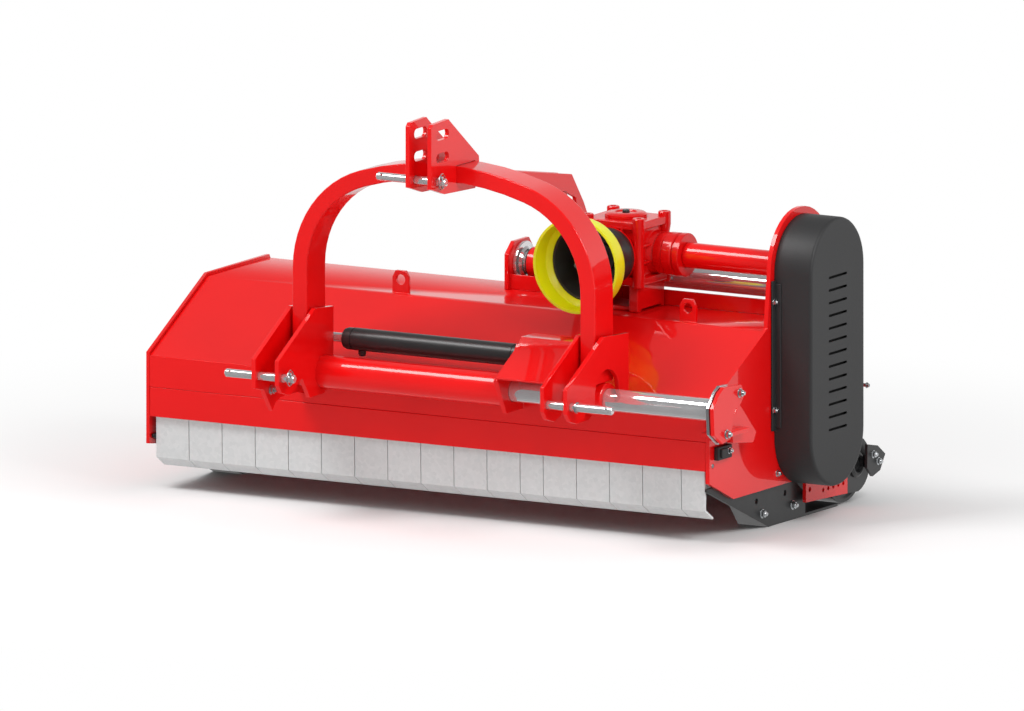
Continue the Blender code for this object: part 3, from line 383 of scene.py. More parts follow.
# %% Bars, sleeves and seals
BAR, SLEEVE, REAR_SLEEVE, FIT = 30.0, 44.5, 42.0, 0.6
TUBE, TUBE_BORE = 34.0, 26.0


def centre_of(node):
    """A solid's low and high X, and the middle of its section."""
    low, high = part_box(node)
    return low.x, high.x, (low.y + high.y) / 2, (low.z + high.z) / 2


def bar_along_x(node, look, radius, hole=0.0, chamfer=1.5):
    """Stands a turned bar or tube in the place of a CAD solid that runs across the machine."""
    low, high, y, z = centre_of(node)
    shape = bmesh.new()
    length = (high - low) * 1000
    if hole:
        pipe(shape, radius, hole, length, (low, y, z), ACROSS, 64, chamfer)
    else:
        rod(shape, radius, length, (low, y, z), ACROSS, 64, chamfer)
    return piece(f"{node}_shown", shape, look, BODY_OF[node], [node])


bar_along_x("front_bar", "chrome", BAR)
bar_along_x("rear_bar", "chrome", BAR)
bar_along_x("front_sleeve", "red", SLEEVE, BAR + FIT, 2.0)
bar_along_x("right_sleeve", "red", SLEEVE, BAR + FIT, 2.0)
bar_along_x("rear_sleeve", "red", REAR_SLEEVE, BAR + FIT, 2.0)
bar_along_x("shaft_tube", "red", TUBE, TUBE_BORE, 2.0)

low, high, y, z = centre_of("rear_bar")
FLANGE = (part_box("rear_bar")[1].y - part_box("rear_bar")[0].y) * 500
shape = bmesh.new()
turned(shape, [(BAR - 1, 0), (FLANGE - 1.5, 0), (FLANGE, 1.5), (FLANGE, 7), (FLANGE - 2, 9), (42, 11), (36, 17),
               (BAR - 1, 18)], (low, y, z), ACROSS, 64, closed=True)
piece("rear_bar_flange", shape, "chrome", "deck")

for node, radius, ends in (("front_sleeve", SLEEVE, ["right"]), ("rear_sleeve", REAR_SLEEVE, ["left", "right"])):
    low, high, y, z = centre_of(node)
    for end in ends:
        x = low - 0.004 if end == "left" else high - 0.002
        shape = bmesh.new()
        turned(shape, [(BAR + 0.7, 0), (radius - 4, 0), (radius - 2, 1.5), (radius - 2, 4.5), (radius - 5, 6),
                       (BAR + 2.5, 6), (BAR + 0.7, 4)], (x, y, z), ACROSS, 48, closed=True)
        piece(f"{node}_seal_{end}", shape, "rubber", BODY_OF[node])
print("bar radius", BAR, "mm, sleeve radius", SLEEVE, "mm")

# %% [markdown]
# ## Hitch pins with their linch pins
# Each of the three hitch pins is a chrome bar with a small cross hole near its plain end. At the other end a
# linch pin goes through it: a short peg whose spring ring snaps round the bar. The right pin has a collar
# there instead. The holes are cut with an exact Boolean, applied at once, so that the pin's own mesh has
# them.

# %% Pins
PIN, PIN_HOLE, RING, WIRE = 11.0, 3.5, 20.5, 1.8
PLAIN_ENDS = {"lower_pin_left": "left", "lower_pin_right": "right", "top_link_pin": "left"}


def bored(made, place, axis, radius):
    """Cuts a round hole through a piece and keeps the result as its mesh."""
    shape = bmesh.new()
    rod(shape, radius, 80, place - Vector(axis) * 0.040, axis, 20, 0.1)
    bmesh.ops.recalc_face_normals(shape, faces=shape.faces)
    mesh = bpy.data.meshes.new("drill")
    shape.to_mesh(mesh)
    shape.free()
    drill = bpy.data.objects.new("drill", mesh)
    bpy.context.scene.collection.objects.link(drill)
    cut = made.modifiers.new("hole", "BOOLEAN")
    cut.operation, cut.solver, cut.object = "DIFFERENCE", "EXACT", drill
    bpy.context.view_layer.update()
    result = bpy.data.meshes.new_from_object(made.evaluated_get(bpy.context.evaluated_depsgraph_get()))
    made.modifiers.remove(cut)
    bpy.data.objects.remove(drill)
    made.data = result
    result.set_sharp_from_angle(angle=CREASE)


for node, plain_end in PLAIN_ENDS.items():
    low, high, y, z = centre_of(node)
    made = bar_along_x(node, "chrome", PIN, chamfer=2.5)
    near, far = (low + 0.016, high - 0.014) if plain_end == "left" else (high - 0.016, low + 0.014)
    bored(made, Vector((near, y, z)), Vector((0, -0.8, 0.6)), PIN_HOLE)
    shape = bmesh.new()
    if node == "lower_pin_right":
        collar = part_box("hitch_plate_right_outer")[1].x + 0.014
        turned(shape, [(PIN, 0), (14, 0), (15, 1), (15, 4), (14, 5), (PIN, 5)], (collar, y, z), ACROSS, 32,
               closed=True)
        piece(f"{node}_collar", shape, "bolt", BODY_OF[node])
        continue
    ring(shape, RING, WIRE, (far, y, z + 0.002), Vector((1, 0.12, 0)).normalized())
    peg = Vector((0.25, -0.55, 0.75)).normalized()
    rod(shape, 3.6, 42, Vector((far, y, z)) - peg * 0.020, peg, 16)
    rod(shape, 5.5, 6, Vector((far, y, z)) + peg * 0.015, peg, 16)
    piece(f"{node}_linch", shape, "bolt", BODY_OF[node])
print("pin of", 2 * PIN, "mm, ring of", 2 * RING, "mm")

# %% [markdown]
# ## Bolts
# A bolt here is a plain washer, a hexagon with its turned chamfer, and the end of a thread that stands out of
# it. The hexagon is the same turned profile, but in six steps. All the bolts of a bracket are one piece.

# %% Bolts by the size of their thread
def hex_bolt(shape, place, axis, size, thread=0.5):
    """A washer, a hexagon and a thread's end. Each length is a share of the thread's size in millimetres."""
    washer = [(0, 0), (1.05, 0), (1.05, 0.16), (1, 0.2), (0, 0.2)]
    nut = [(0, 0.2), (0.86, 0.2), (0.86, 0.78), (0.74, 0.88), (0, 0.88)]
    ridges = [(0.47 if i % 2 else 0.42, 0.86 + thread * (i + 1) / 8) for i in range(7)]
    screw = [(0, 0.86), (0.45, 0.86), *ridges, (0.40, 0.86 + thread), (0, 0.86 + thread)]
    for profile, steps in ((washer, 28), (nut, 6), (screw, 16)):
        turned(shape, [(r * size, d * size) for r, d in profile], place, axis, steps)


def bolts(name, body, size, axis, places, thread=0.5):
    """All the bolts of one bracket as one piece."""
    shape = bmesh.new()
    for place in places:
        hex_bolt(shape, place, axis, size, thread)
    return piece(name, shape, "bolt", body)


def outer_face(node):
    """How far a solid reaches across, in millimetres from the left plate."""
    return (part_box(node)[1].x - LEFT) * 1000


PLATE_OUT, SKID_OUT = outer_face("right_side_plate"), outer_face("skid_right")
BRACKET_OUT, BAR_OUT = outer_face("bar_bracket_right"), outer_face("front_bar")
bolts("bracket_bolts", "deck", 12, ACROSS, [drawn(BRACKET_OUT, 28.5, 413.5), drawn(BRACKET_OUT, -40, 313)])
bolts("skid_bolts", "deck", 12, ACROSS, [drawn(SKID_OUT, 460, 39.7), drawn(SKID_OUT, 299, 40.7)])
bolts("hitch_bolt", "headstock", 13, ACROSS, [drawn(505.2, -216, 347)])
print("bolts on the right plate at", round(PLATE_OUT), "mm")

# %% [markdown]
# ## Side-shift cylinder
# A hydraulic cylinder pushes the hitch along its bars. Its barrel is a tube with a screwed gland at the rod's
# end, a welded cap at the other, and two ports for hoses. The rod is chromed like the bars. One turned
# profile gives the barrel with its gland and cap, and short turned bosses give the ports.

# %% Cylinder
BARREL, ROD, BORE_DEPTH = 30.0, 12.5, 470
low, high, AXIS_Y, AXIS_Z = centre_of("cylinder_rod")
start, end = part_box("cylinder_barrel")[0].x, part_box("cylinder_barrel")[1].x
length = (end - start) * 1000
shape = bmesh.new()
turned(shape, [(ROD + 0.7, 0), (BARREL - 5, 0), (BARREL - 3.5, 1.5), (BARREL - 3.5, 8), (BARREL - 1.5, 9),
               (BARREL - 0.5, 9.5), (BARREL - 0.5, 26), (BARREL - 2.5, 27), (BARREL - 2.5, 29), (BARREL, 30),
               (BARREL, length - 22), (BARREL - 1.5, length - 21), (BARREL - 1.5, length - 19),
               (BARREL, length - 18), (BARREL, length - 3), (BARREL - 3, length), (0, length), (0, BORE_DEPTH),
               (ROD + 0.7, BORE_DEPTH)], (start, AXIS_Y, AXIS_Z), ACROSS, 64)
for x in (start + 0.050, end - 0.045):
    turned(shape, [(0, 0), (10.5, 0), (10.5, 13), (9, 14.0), (0, 14.0)], (x, AXIS_Y, AXIS_Z - 0.026), -UP, 24)
    turned(shape, [(0, 13), (8.6, 13), (8.6, 17), (7.6, 18), (0, 18)], (x, AXIS_Y, AXIS_Z - 0.026), -UP, 6)
piece("cylinder_barrel_shown", shape, "black", "headstock", ["cylinder_barrel"])
bar_along_x("cylinder_rod", "chrome", ROD)
shape = bmesh.new()
turned(shape, [(ROD + 0.5, 0), (22, 0), (22, 12), (19, 15), (ROD + 0.5, 15)], (low, AXIS_Y, AXIS_Z), ACROSS, 6,
       closed=True)
piece("cylinder_rod_nut", shape, "bolt", "deck", rounding=0.5)
print(f"barrel {length:.0f} mm long")

# %% [markdown]
# ## Gearbox
# The gearbox is a grey iron casting that turns the drive through a right angle. Castings show how they are
# made: a thick rim at top and foot, ribs that stiffen the walls, and generous fillets. Blocks overlap here as
# the ribs of the real one do, and one bevel rounds them all.

# %% Gearbox body
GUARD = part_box("pto_guard")
INPUT_X = (GUARD[0].x + GUARD[1].x) / 2
SHAFT_Y, SHAFT_Z = centre_of("drive_shaft")[2:]
HALF_WIDE, BASE = 0.095, 0.600
low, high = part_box("gearbox")
left, right = INPUT_X - HALF_WIDE, INPUT_X + HALF_WIDE
front, back = low.y + 0.030, high.y
top = high.z - 0.016
shape = bmesh.new()
block(shape, (left + 0.018, front + 0.018, BASE), (right - 0.018, back - 0.018, top - 0.004))
block(shape, (left + 0.006, front + 0.006, top - 0.022), (right - 0.006, back - 0.006, top))
block(shape, (left + 0.003, front + 0.004, BASE), (right - 0.003, back - 0.004, BASE + 0.022))
block(shape, (left + 0.018, front + 0.014, low.z), (left + 0.046, back - 0.014, BASE + 0.004))
block(shape, (right - 0.046, front + 0.014, low.z), (right - 0.018, back - 0.014, BASE + 0.004))
block(shape, (left + 0.018, front + 0.030, low.z), (right - 0.018, back - 0.030, low.z + 0.012))
for x in (INPUT_X - 0.030, INPUT_X, INPUT_X + 0.030):
    block(shape, (x - 0.004, front + 0.006, BASE + 0.010), (x + 0.004, back - 0.006, top - 0.012))
for z in (0.655, 0.700):
    block(shape, (left + 0.008, front + 0.016, z), (right - 0.006, back - 0.016, z + 0.008))
piece("gearbox_body", shape, "cast red", "deck", ["gearbox"], rounding=5.0, segments=3)
print(f"gearbox between {low.x:.3f} and {high.x:.3f}")

# %% [markdown]
# ## Bearing housings of the gearbox
# Four thick columns take the long bolts. Round housings hold the bearings of both shafts, and the one towards
# the belt is long, because it carries the shaft tube. All of it is turned, so it is one piece of profiles.

# %% Columns, housings, screws and plug
COLUMN = [(0, -6), (15, -6), (17, -3), (17, 40), (14, 58), (13, 110), (14, 128), (17, 146), (17, 178), (15, 181),
          (8, 181), (8, 176), (0, 176)]
COVER = [(0, 0), (54, 0), (54, 8), (50, 12), (0, 12)]
reach = (high.x - right) * 1000
middle_y = (front + back) / 2
shape = bmesh.new()
for x in (left + 0.017, right - 0.017):
    for y in (front + 0.017, back - 0.017):
        turned(shape, COLUMN, (x, y, BASE), UP, 24)
turned(shape, [(0, 0), (74, 0), (76, 3), (76, 16), (72, 22), (64, 34), (0, 34)], (INPUT_X, front - 0.012, SHAFT_Z),
       BACK, 56)
turned(shape, [(0, 0), (60, 0), (52, 18), (46, 28), (46, 42), (0, 42)], (right - 0.020, SHAFT_Y, SHAFT_Z), ACROSS,
       48)
turned(shape, [(21, 0), (54, 0), (56, 2), (56, 22), (54, 23.5), (54, 25), (56, 26.5), (57.5, 28),
               (57.5, reach - 26), (56, reach - 24), (52, reach - 22), (52, reach - 20), (56, reach - 18),
               (58, reach - 16), (58, reach - 2), (56, reach), (21, reach)], (right, SHAFT_Y, SHAFT_Z), ACROSS, 56,
       closed=True)
turned(shape, [(0, 0), (54, 0), (56, 3), (56, 10), (50, 14), (30, 15), (28, 12), (0, 12)],
       (INPUT_X, middle_y, top - 0.002), UP, 48)
turned(shape, COVER, (INPUT_X, back - 0.014, SHAFT_Z), BACK, 48)
turned(shape, COVER, (left + 0.014, SHAFT_Y, SHAFT_Z), -ACROSS, 48)
piece("gearbox_bosses", shape, "cast red", "deck", ["gearbox"])

shape = bmesh.new()
for i in range(6):
    a = pi / 6 + i * pi / 3
    place = Vector((high.x - 0.0025, SHAFT_Y + 0.049 * cos(a), SHAFT_Z + 0.049 * sin(a)))
    turned(shape, [(0, 0), (4.2, 0), (4.2, 1.6), (3.0, 2.3), (3.0, 0.6), (0, 0.6)], place, ACROSS, 12)
for i in range(8):
    a = pi / 8 + i * pi / 4
    place = Vector((INPUT_X + 0.066 * cos(a), front - 0.012, SHAFT_Z + 0.066 * sin(a)))
    hex_bolt(shape, place, -BACK, 5, 0.2)
piece("gearbox_screws", shape, "steel", "deck")
shape = bmesh.new()
turned(shape, [(0, 0), (11, 0), (11, 6), (9, 9), (0, 9)], (INPUT_X, middle_y, top + 0.0095), UP, 6)
piece("gearbox_filler_plug", shape, "black", "deck", rounding=0.4)
print(f"the output housing is {reach:.0f} mm long")

# %% [markdown]
# ## Drive shaft guard
# Where the tractor's drive shaft plugs in, a plastic bell covers the joint. Outside it is a yellow mouth band
# that narrows towards the gearbox, and a black collar clips it on. Inside it is black, round a splined stub.

# %% Guard and collar
MOUTH = [(121, 0.5), (123.5, 0), (128, 0), (128, 3), (126.5, 5), (125.2, 26), (123, 48), (121.5, 52), (112, 60),
         (96, 80), (88, 98), (85, 98), (92, 79), (108, 58), (118, 49), (120, 40)]
COLLAR = [(97, 62), (101, 60), (104, 62), (92, 84), (87, 96), (91, 99), (91, 103), (84, 106), (76, 120), (75, 124),
          (75, 160), (76.5, 163), (76.5, 180), (75, 183), (72, 183), (72, 122), (80, 98), (88, 80)]
INSIDE = [(22, 150), (71.5, 150), (71.5, 156), (40, 156), (38, 140), (24, 138), (22, 138)]
mouth = Vector((INPUT_X, GUARD[0].y, SHAFT_Z))
shape = bmesh.new()
turned(shape, MOUTH, mouth, BACK, 72, closed=True)
piece("guard_mouth", shape, "yellow", "deck", ["pto_guard"])
shape = bmesh.new()
turned(shape, COLLAR, mouth, BACK, 72, closed=True)
turned(shape, INSIDE, mouth, BACK, 48, closed=True)
piece("guard_collar", shape, "black", "deck", ["pto_guard"])
print(f"guard mouth at {mouth.y:.3f}")

# %% [markdown]
# ## Splined stub
# The stub is a shaft with six grooves, which lock the tractor's yoke to it. Its section is a star rather than
# a circle, so it can't be turned. Three copies of the star, the first a little smaller, are joined by faces.

# %% Input stub, drive shaft and flap rod
TIP, ROOT, TEETH, SPLINED = 17.4, 14.8, 24, 0.076
low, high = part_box("input_shaft")
outline = [(TIP if i % 4 < 2 else ROOT) / 1000 for i in range(TEETH)]
shape = bmesh.new()
loops = []
for along, size in ((low.y, 0.86), (low.y + 0.003, 1.0), (low.y + SPLINED, 1.0)):
    turns = [2 * pi * (i + 0.5) / TEETH for i in range(TEETH)]
    loops.append([shape.verts.new((INPUT_X + r * size * cos(a), along, SHAFT_Z + r * size * sin(a)))
                  for a, r in zip(turns, outline)])
for near, far in zip(loops, loops[1:]):
    for i in range(TEETH):
        shape.faces.new((near[i], near[(i + 1) % TEETH], far[(i + 1) % TEETH], far[i]))
shape.faces.new(loops[0])
shape.faces.new(loops[-1])
rod(shape, TIP, (high.y - low.y) * 1000 - 78, (INPUT_X, low.y + 0.078, SHAFT_Z), BACK, 40)
rod(shape, 13.5, 12, (INPUT_X, low.y + 0.070, SHAFT_Z), BACK, 32)
piece("input_stub", shape, "steel", "input_line", ["input_shaft"], rounding=0.5)
bar_along_x("drive_shaft", "steel", 20.0)
bar_along_x("flap_rod", "steel", 6.0, chamfer=1.0)
print(TEETH // 4, "splines")

# %% [markdown]
# ## Outlines
# A plate is quickest as a drawing: its edge and its holes are closed lines of one flat 2D curve, which fills
# itself and leaves the holes open. The curve is thickened, turned into a mesh and laid into its place.

# %% Flat plates with holes
def capsule(length, width, steps=16):
    """A tall outline with round ends, about its middle, in millimetres."""
    reach, radius = (length - width) / 2, width / 2
    upper = [(radius * cos(pi * i / steps), reach + radius * sin(pi * i / steps)) for i in range(steps + 1)]
    return upper + [(-x, -y) for x, y in upper]


def cut_face(shape, outline, holes, thickness, to_place):
    """A flat plate with holes: a filled 2D curve, thickened, and put in its place by a matrix."""
    curve = bpy.data.curves.new("cut", "CURVE")
    curve.dimensions, curve.fill_mode, curve.extrude = "2D", "BOTH", thickness / 2000
    for points in (outline, *holes):
        spline = curve.splines.new("POLY")
        spline.points.add(len(points) - 1)
        for point, (x, y) in zip(spline.points, points):
            point.co = (x / 1000, y / 1000, 0, 1)
        spline.use_cyclic_u = True
    holder = bpy.data.objects.new("cut", curve)
    bpy.context.scene.collection.objects.link(holder)
    bpy.context.view_layer.update()
    mesh = bpy.data.meshes.new_from_object(holder.evaluated_get(bpy.context.evaluated_depsgraph_get()))
    bpy.data.objects.remove(holder)
    mesh.transform(to_place)
    shape.from_mesh(mesh)


def facing_x(middle):
    """Puts a drawing of (back, up) points on a face that looks across the machine."""
    turn = Matrix(((0, 0, 1), (1, 0, 0), (0, 1, 0))).to_4x4()
    return Matrix.Translation(middle) @ turn


print("a capsule has", len(capsule(100, 20)), "points")

# %% [markdown]
# ## Belt cover
# The cover is one moulding: a tall box with round ends, a soft rim, and a flat face with vents. Rings of
# points round the outline are stepped inwards to give the rim, and the face is a flat outline with slots as
# holes, so the vents are real openings. A plain column of slots is used for the vents. Just inside the face
# a near-black sheet is painted shade: it stands for the dark inside of the cover that the vents show.

# %% Cover, a sheet of painted shade behind its vents, and its flange
VENT_LONG, VENT_HIGH, VENT_PITCH, VENTS = 96, 7, 34, 13
low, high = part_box("belt_cover")
middle_y, middle_z = (low.y + high.y) / 2, (low.z + high.z) / 2
width, height = (high.y - low.y) * 1000, (high.z - low.z) * 1000
rim = ((low.x + 0.001, 0.0), (high.x - 0.008, 0), (high.x - 0.0042, 1.1), (high.x - 0.0014, 3.4),
       (high.x - 0.0002, 6.5), (high.x, 10), (high.x - 0.0034, 10), (high.x - 0.005, 4.5), (low.x, 4.5))
shape = bmesh.new()
loops = []
for x, inset in rim:
    outline = capsule(height - 2 * inset, width - 2 * inset, 32)
    loops.append([shape.verts.new((x, middle_y + a / 1000, middle_z + b / 1000)) for a, b in outline])
for near, far in zip(loops, loops[1:] + loops[:1]):
    for i in range(len(near)):
        shape.faces.new((near[i], near[(i + 1) % len(near)], far[(i + 1) % len(far)], far[i]))
vents = [[(y, z + (row - (VENTS - 1) / 2) * VENT_PITCH) for z, y in capsule(VENT_LONG, VENT_HIGH, 6)]
         for row in range(VENTS)]
cut_face(shape, capsule(height - 20, width - 20, 32), vents, 3.2, facing_x((high.x - 0.0016, middle_y, middle_z)))
piece("belt_cover_shown", shape, "abs", "deck", ["belt_cover"])

# A near-black sheet just inside the face is painted shade: it stands for the dark inside of the cover, so the
# vents look dark.
shape = bmesh.new()
cut_face(shape, capsule(height - 14, width - 14, 24), [], 1.0, facing_x((high.x - 0.012, middle_y, middle_z)))
piece("belt_cover_shade_sheet", shape, "rubber", "deck")

root = drawn(PLATE_OUT + 0.3, 0, 0).x
shape = bmesh.new()
block(shape, (root, low.y - 0.018, middle_z - 0.200), (root + 0.0057, low.y + 0.004, middle_z + 0.202))
block(shape, (root, low.y - 0.004, middle_z - 0.192), (root + 0.0217, low.y + 0.001, middle_z + 0.194))
piece("cover_flange", shape, "abs", "deck", rounding=2.0)
flange_x, flange_y = PLATE_OUT + 6, (low.y - FRONT) * 1000 - 9
bolts("cover_bolts", "deck", 9, ACROSS, [drawn(flange_x, flange_y, 604), drawn(flange_x, flange_y, 314),
                                         drawn(PLATE_OUT, flange_y + 26, 141)])
print(f"cover {height:.0f} by {width:.0f} mm with {VENTS} vents")

# %% [markdown]
# ## Belt drive
# Behind the cover two grooved pulleys carry the belt down to the rotor. A pulley is turned from one profile,
# in which every belt rib has its own groove. The belt keeps its CAD shape.

# %% Pulleys and belt
GROOVES, GROOVE_DEEP = 4, 8


def grooved(node, radius, bore):
    """Stands a grooved pulley in the place of its CAD solid."""
    low, high, y, z = centre_of(node)
    length = (high - low) * 1000
    hub, web = radius * 0.45, radius - 14
    profile = [(bore, 0), (hub, 0), (hub, 12), (web, 16), (web, 2), (radius, 2)]
    for i in range(GROOVES):
        middle = length * (i + 0.5) / GROOVES
        bottom = radius - GROOVE_DEEP
        profile += [(radius, middle - 6), (bottom, middle - 2), (bottom, middle + 2), (radius, middle + 6)]
    profile += [(radius, length - 2), (web, length), (bore, length)]
    shape = bmesh.new()
    turned(shape, profile, (low, y, z), ACROSS, 56, closed=True)
    piece(f"{node}_shown", shape, "steel", BODY_OF[node], [node])


grooved("upper_pulley", 95.0, 20.6)
grooved("lower_pulley", 70.0, 25.6)
softened("drive_belt", "rubber", 1.0)
print(GROOVES, "grooves in each pulley")

# %% [markdown]
# ## Rotor
# The rotor is a tube with pairs of lugs, each pair holding one flail, set two fifths of a turn apart so that
# its balance is even. A flail is forged steel, narrow where it hangs and wide where it strikes.

# %% Rotor tube, lugs and flails
STUB, DRUM, FLAILS, FLAIL_WIDE, FLAIL_END = 25, 70, 14, 90, 180
FLAIL = [(32, 84), (58, 84), (64, 96), (66, 112), (86, 130), (90, 154), (84, FLAIL_END - 5), (66, FLAIL_END),
         (24, FLAIL_END), (6, FLAIL_END - 5), (0, 154), (4, 130), (24, 112), (26, 96)]
low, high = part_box("rotor")
axle = Vector((low.x, *centre_of("lower_pulley")[2:]))
tube_low, tube_high = LEFT + 0.0303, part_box("right_side_plate")[0].x - 0.0203
drum_end, length = (tube_high - low.x) * 1000, (high.x - low.x) * 1000
pitch = ((tube_high - tube_low) * 1000 - FLAIL_WIDE) / (FLAILS - 1) - 0.4
starts = [(tube_low + (2 + i * pitch) / 1000, i * 4 * pi / 5) for i in range(FLAILS)]
shape = bmesh.new()
turned(shape, [(STUB, 0), (STUB, 30), (DRUM - 2, 31), (DRUM, 33), (DRUM, drum_end - 3), (DRUM - 2, drum_end - 1),
               (STUB, drum_end), (STUB, length - 2), (STUB - 2, length), (0, length)], axle, ACROSS, 56)
turned(shape, [(0, 0), (STUB, 0)], axle, ACROSS, 56)
for x, angle in starts:
    for side in (0.018, FLAIL_WIDE / 1000 - 0.028):
        made = bmesh.ops.create_cube(shape, size=1.0)["verts"]
        bmesh.ops.scale(shape, vec=(0.010, 0.013, 0.050), verts=made)
        bmesh.ops.translate(shape, vec=(x + side + 0.005, 0, 0.088), verts=made)
        bmesh.ops.rotate(shape, matrix=Matrix.Rotation(angle, 3, "X"), verts=made)
        bmesh.ops.translate(shape, vec=(0, axle.y, axle.z), verts=made)
piece("rotor_shown", shape, "black", "rotor_unit", ["rotor"], rounding=1.0)

shape = bmesh.new()
for x, angle in starts:
    turn = Matrix.Translation((0, axle.y, axle.z)) @ Matrix.Rotation(angle, 4, "X")
    cut_face(shape, FLAIL, [], 9, turn @ Matrix.Translation((x, 0, 0)) @ Matrix.Rotation(pi / 2, 4, "X"))
piece("rotor_flails", shape, "steel", "rotor_unit", ["rotor"], rounding=1.5)
print(f"{FLAILS} flails, {pitch:.0f} mm apart")

# %% [markdown]
# ## Rear roller
# The roller at the back sets the height of cut. It is a closed tube with a stub axle at each end, and its end
# discs are dished, so one turned profile has it all.

# %% Roller
AXLE = 20
low, high, roller_y, roller_z = centre_of("rear_roller")
ROLLER = (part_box("rear_roller")[1].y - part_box("rear_roller")[0].y) * 500
length = (high - low) * 1000
end = AXLE + 12.6
shape = bmesh.new()
turned(shape, [(0, 0), (AXLE - 2, 0), (AXLE, 2), (AXLE, end), (ROLLER - 16, end + 6), (ROLLER - 10, end + 1),
               (ROLLER - 2, end), (ROLLER, end + 2), (ROLLER, length - end - 4), (ROLLER - 2, length - end - 2),
               (ROLLER - 10, length - end - 3), (ROLLER - 16, length - end - 8), (AXLE, length - end - 2),
               (AXLE, length - 2), (AXLE - 2, length), (0, length)], (low, roller_y, roller_z), ACROSS, 72)
piece("rear_roller_shown", shape, "black", "roller_unit", ["rear_roller"])
print(f"roller of {2 * ROLLER:.0f} mm")

# %% [markdown]
# ## Roller arm
# The arm of the roller is two plates bolted together: a red one with a row of holes for the height, and a
# black one that carries the bearing. The CAD has them as one solid, so it is cut in two where they meet.

# %% Roller arm in two colours
def part_of(node, name, look, where, keep_front, rounding):
    """The front or rear part of a CAD solid, cut off square, with its new end closed."""
    shape = bmesh.new()
    shape.from_mesh(NODES[node].data)
    bmesh.ops.remove_doubles(shape, verts=shape.verts, dist=0.00002)
    bmesh.ops.bisect_plane(shape, geom=shape.verts[:] + shape.edges[:] + shape.faces[:], plane_co=(0, where, 0),
                           plane_no=BACK, clear_outer=keep_front, clear_inner=not keep_front)
    bmesh.ops.holes_fill(shape, edges=[edge for edge in shape.edges if edge.is_boundary])
    bmesh.ops.dissolve_limit(shape, angle_limit=radians(0.5), verts=shape.verts, edges=shape.edges)
    return piece(name, shape, look, BODY_OF[node], [node], rounding)


low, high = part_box("roller_arm_right")
seam = low.y + 0.219
part_of("roller_arm_right", "height_plate", "red", seam, True, ARM_EDGE)
part_of("roller_arm_right", "bearing_arm", "black", seam, False, ARM_EDGE)
arm_face = root + 0.010
shape = bmesh.new()
turned(shape, [(21, 0), (34, 0), (34, 5), (30, 8), (24, 9), (21, 9)], (arm_face, roller_y, roller_z), ACROSS, 40,
       closed=True)
ring(shape, 26, 1.5, (arm_face + 0.008, roller_y, roller_z), ACROSS)
piece("bearing_right", shape, "black", "deck")
bolts("scraper_bolts", "deck", 10, ACROSS, [Vector((high.x, roller_y + 0.040, roller_z + 0.024)),
                                            Vector((high.x, roller_y + 0.066, roller_z + 0.002))])
print(f"the arm is cut at {seam:.3f}")

# %% [markdown]
# ## Small fittings of the right side
# A plastic block with one bolt keeps the flap rod in. The end of a rod with a ring stands out of the rear
# corner of the plate, and a zinc plate closes the end of the front bar.

# %% Flap rod lock, rod end and bar end plate
shape = bmesh.new()
block(shape, drawn(PLATE_OUT + 0.2, 24, 226), drawn(PLATE_OUT + 14, 96, 262))
block(shape, drawn(PLATE_OUT + 14, 34, 232), drawn(PLATE_OUT + 20, 62, 256))
piece("flap_rod_lock", shape, "abs", "deck", rounding=2.0)
bolts("lock_bolt", "deck", 9, ACROSS, [drawn(PLATE_OUT + 14, 80, 246)])

shape = bmesh.new()
rod(shape, 5, 50, drawn(PLATE_OUT, 757, 320), ACROSS, 20)
ring(shape, 6.5, 1.5, drawn(PLATE_OUT + 43, 757, 320), ACROSS, 20)
piece("rear_rod_end", shape, "steel", "deck")

END_PLATE = [(-107, 320), (-112, 391), (-79, 429), (-53, 443), (-10, 441), (-10, 300), (-60, 286)]
shape = bmesh.new()
cut_face(shape, END_PLATE, [], 9, facing_x(drawn(BAR_OUT - 5.5, 0, 0)))
piece("bar_end_plate", shape, "bolt", "deck", rounding=1.5)
print("fittings done")

# %% [markdown]
# ## Floor
# The studio's floor is pale paper that runs out into pure white with distance, for the camera and for glass.
# Near the machine it stays paper and takes its shadow. What shines doesn't see the paper but a plain grey
# that rises from front to back, as in a studio whose front is left dark, so that the gloss has contrast.

# %% Floor
PAPER_ENDS, WHITE_STARTS, REACH = 0.8, 2.6, 14.0
scene = bpy.context.scene
floor_mesh = bpy.data.meshes.new("floor")
floor_mesh.from_pydata([(-REACH, -REACH, 0), (REACH, -REACH, 0), (REACH, REACH, 0), (-REACH, REACH, 0)], [],
                       [(0, 1, 2, 3)])
floor = bpy.data.objects.new("floor", floor_mesh)
floor.location.z = CAD_BOX[0].z - 0.0005
scene.collection.objects.link(floor)

paper = bpy.data.materials.new("white studio paper")
paper.use_nodes = True
tree = paper.node_tree
shader = tree.nodes["Principled BSDF"]
shader.inputs["Base Color"].default_value = linear("F4F4F4")
shader.inputs["Roughness"].default_value = 0.9
place = add_node(tree, "ShaderNodeTexCoord", {}).outputs["Object"]
far = add_node(tree, "ShaderNodeVectorMath", {0: place}, operation="LENGTH")
fade = add_node(tree, "ShaderNodeMapRange", {"Value": far.outputs["Value"], "From Min": PAPER_ENDS,
                                             "From Max": WHITE_STARTS}, interpolation_type="SMOOTHSTEP")
rays = add_node(tree, "ShaderNodeLightPath", {})
seen = add_node(tree, "ShaderNodeMath", {0: rays.outputs["Is Camera Ray"], 1: rays.outputs["Is Transmission Ray"]},
                operation="MAXIMUM")
amount = add_node(tree, "ShaderNodeMath", {0: seen.outputs[0], 1: fade.outputs["Result"]}, operation="MULTIPLY")
white = add_node(tree, "ShaderNodeEmission", {"Color": linear("FFFFFF"), "Strength": 1.0})
mix = add_node(tree, "ShaderNodeMixShader", {0: amount.outputs[0], 1: shader.outputs[0], 2: white.outputs[0]})
along = add_node(tree, "ShaderNodeSeparateXYZ", {0: place}).outputs["Y"]
sheen = add_node(tree, "ShaderNodeMapRange", {"Value": along, "From Min": -0.6, "From Max": 0.8, "To Min": 0.20,
                                              "To Max": 0.75})
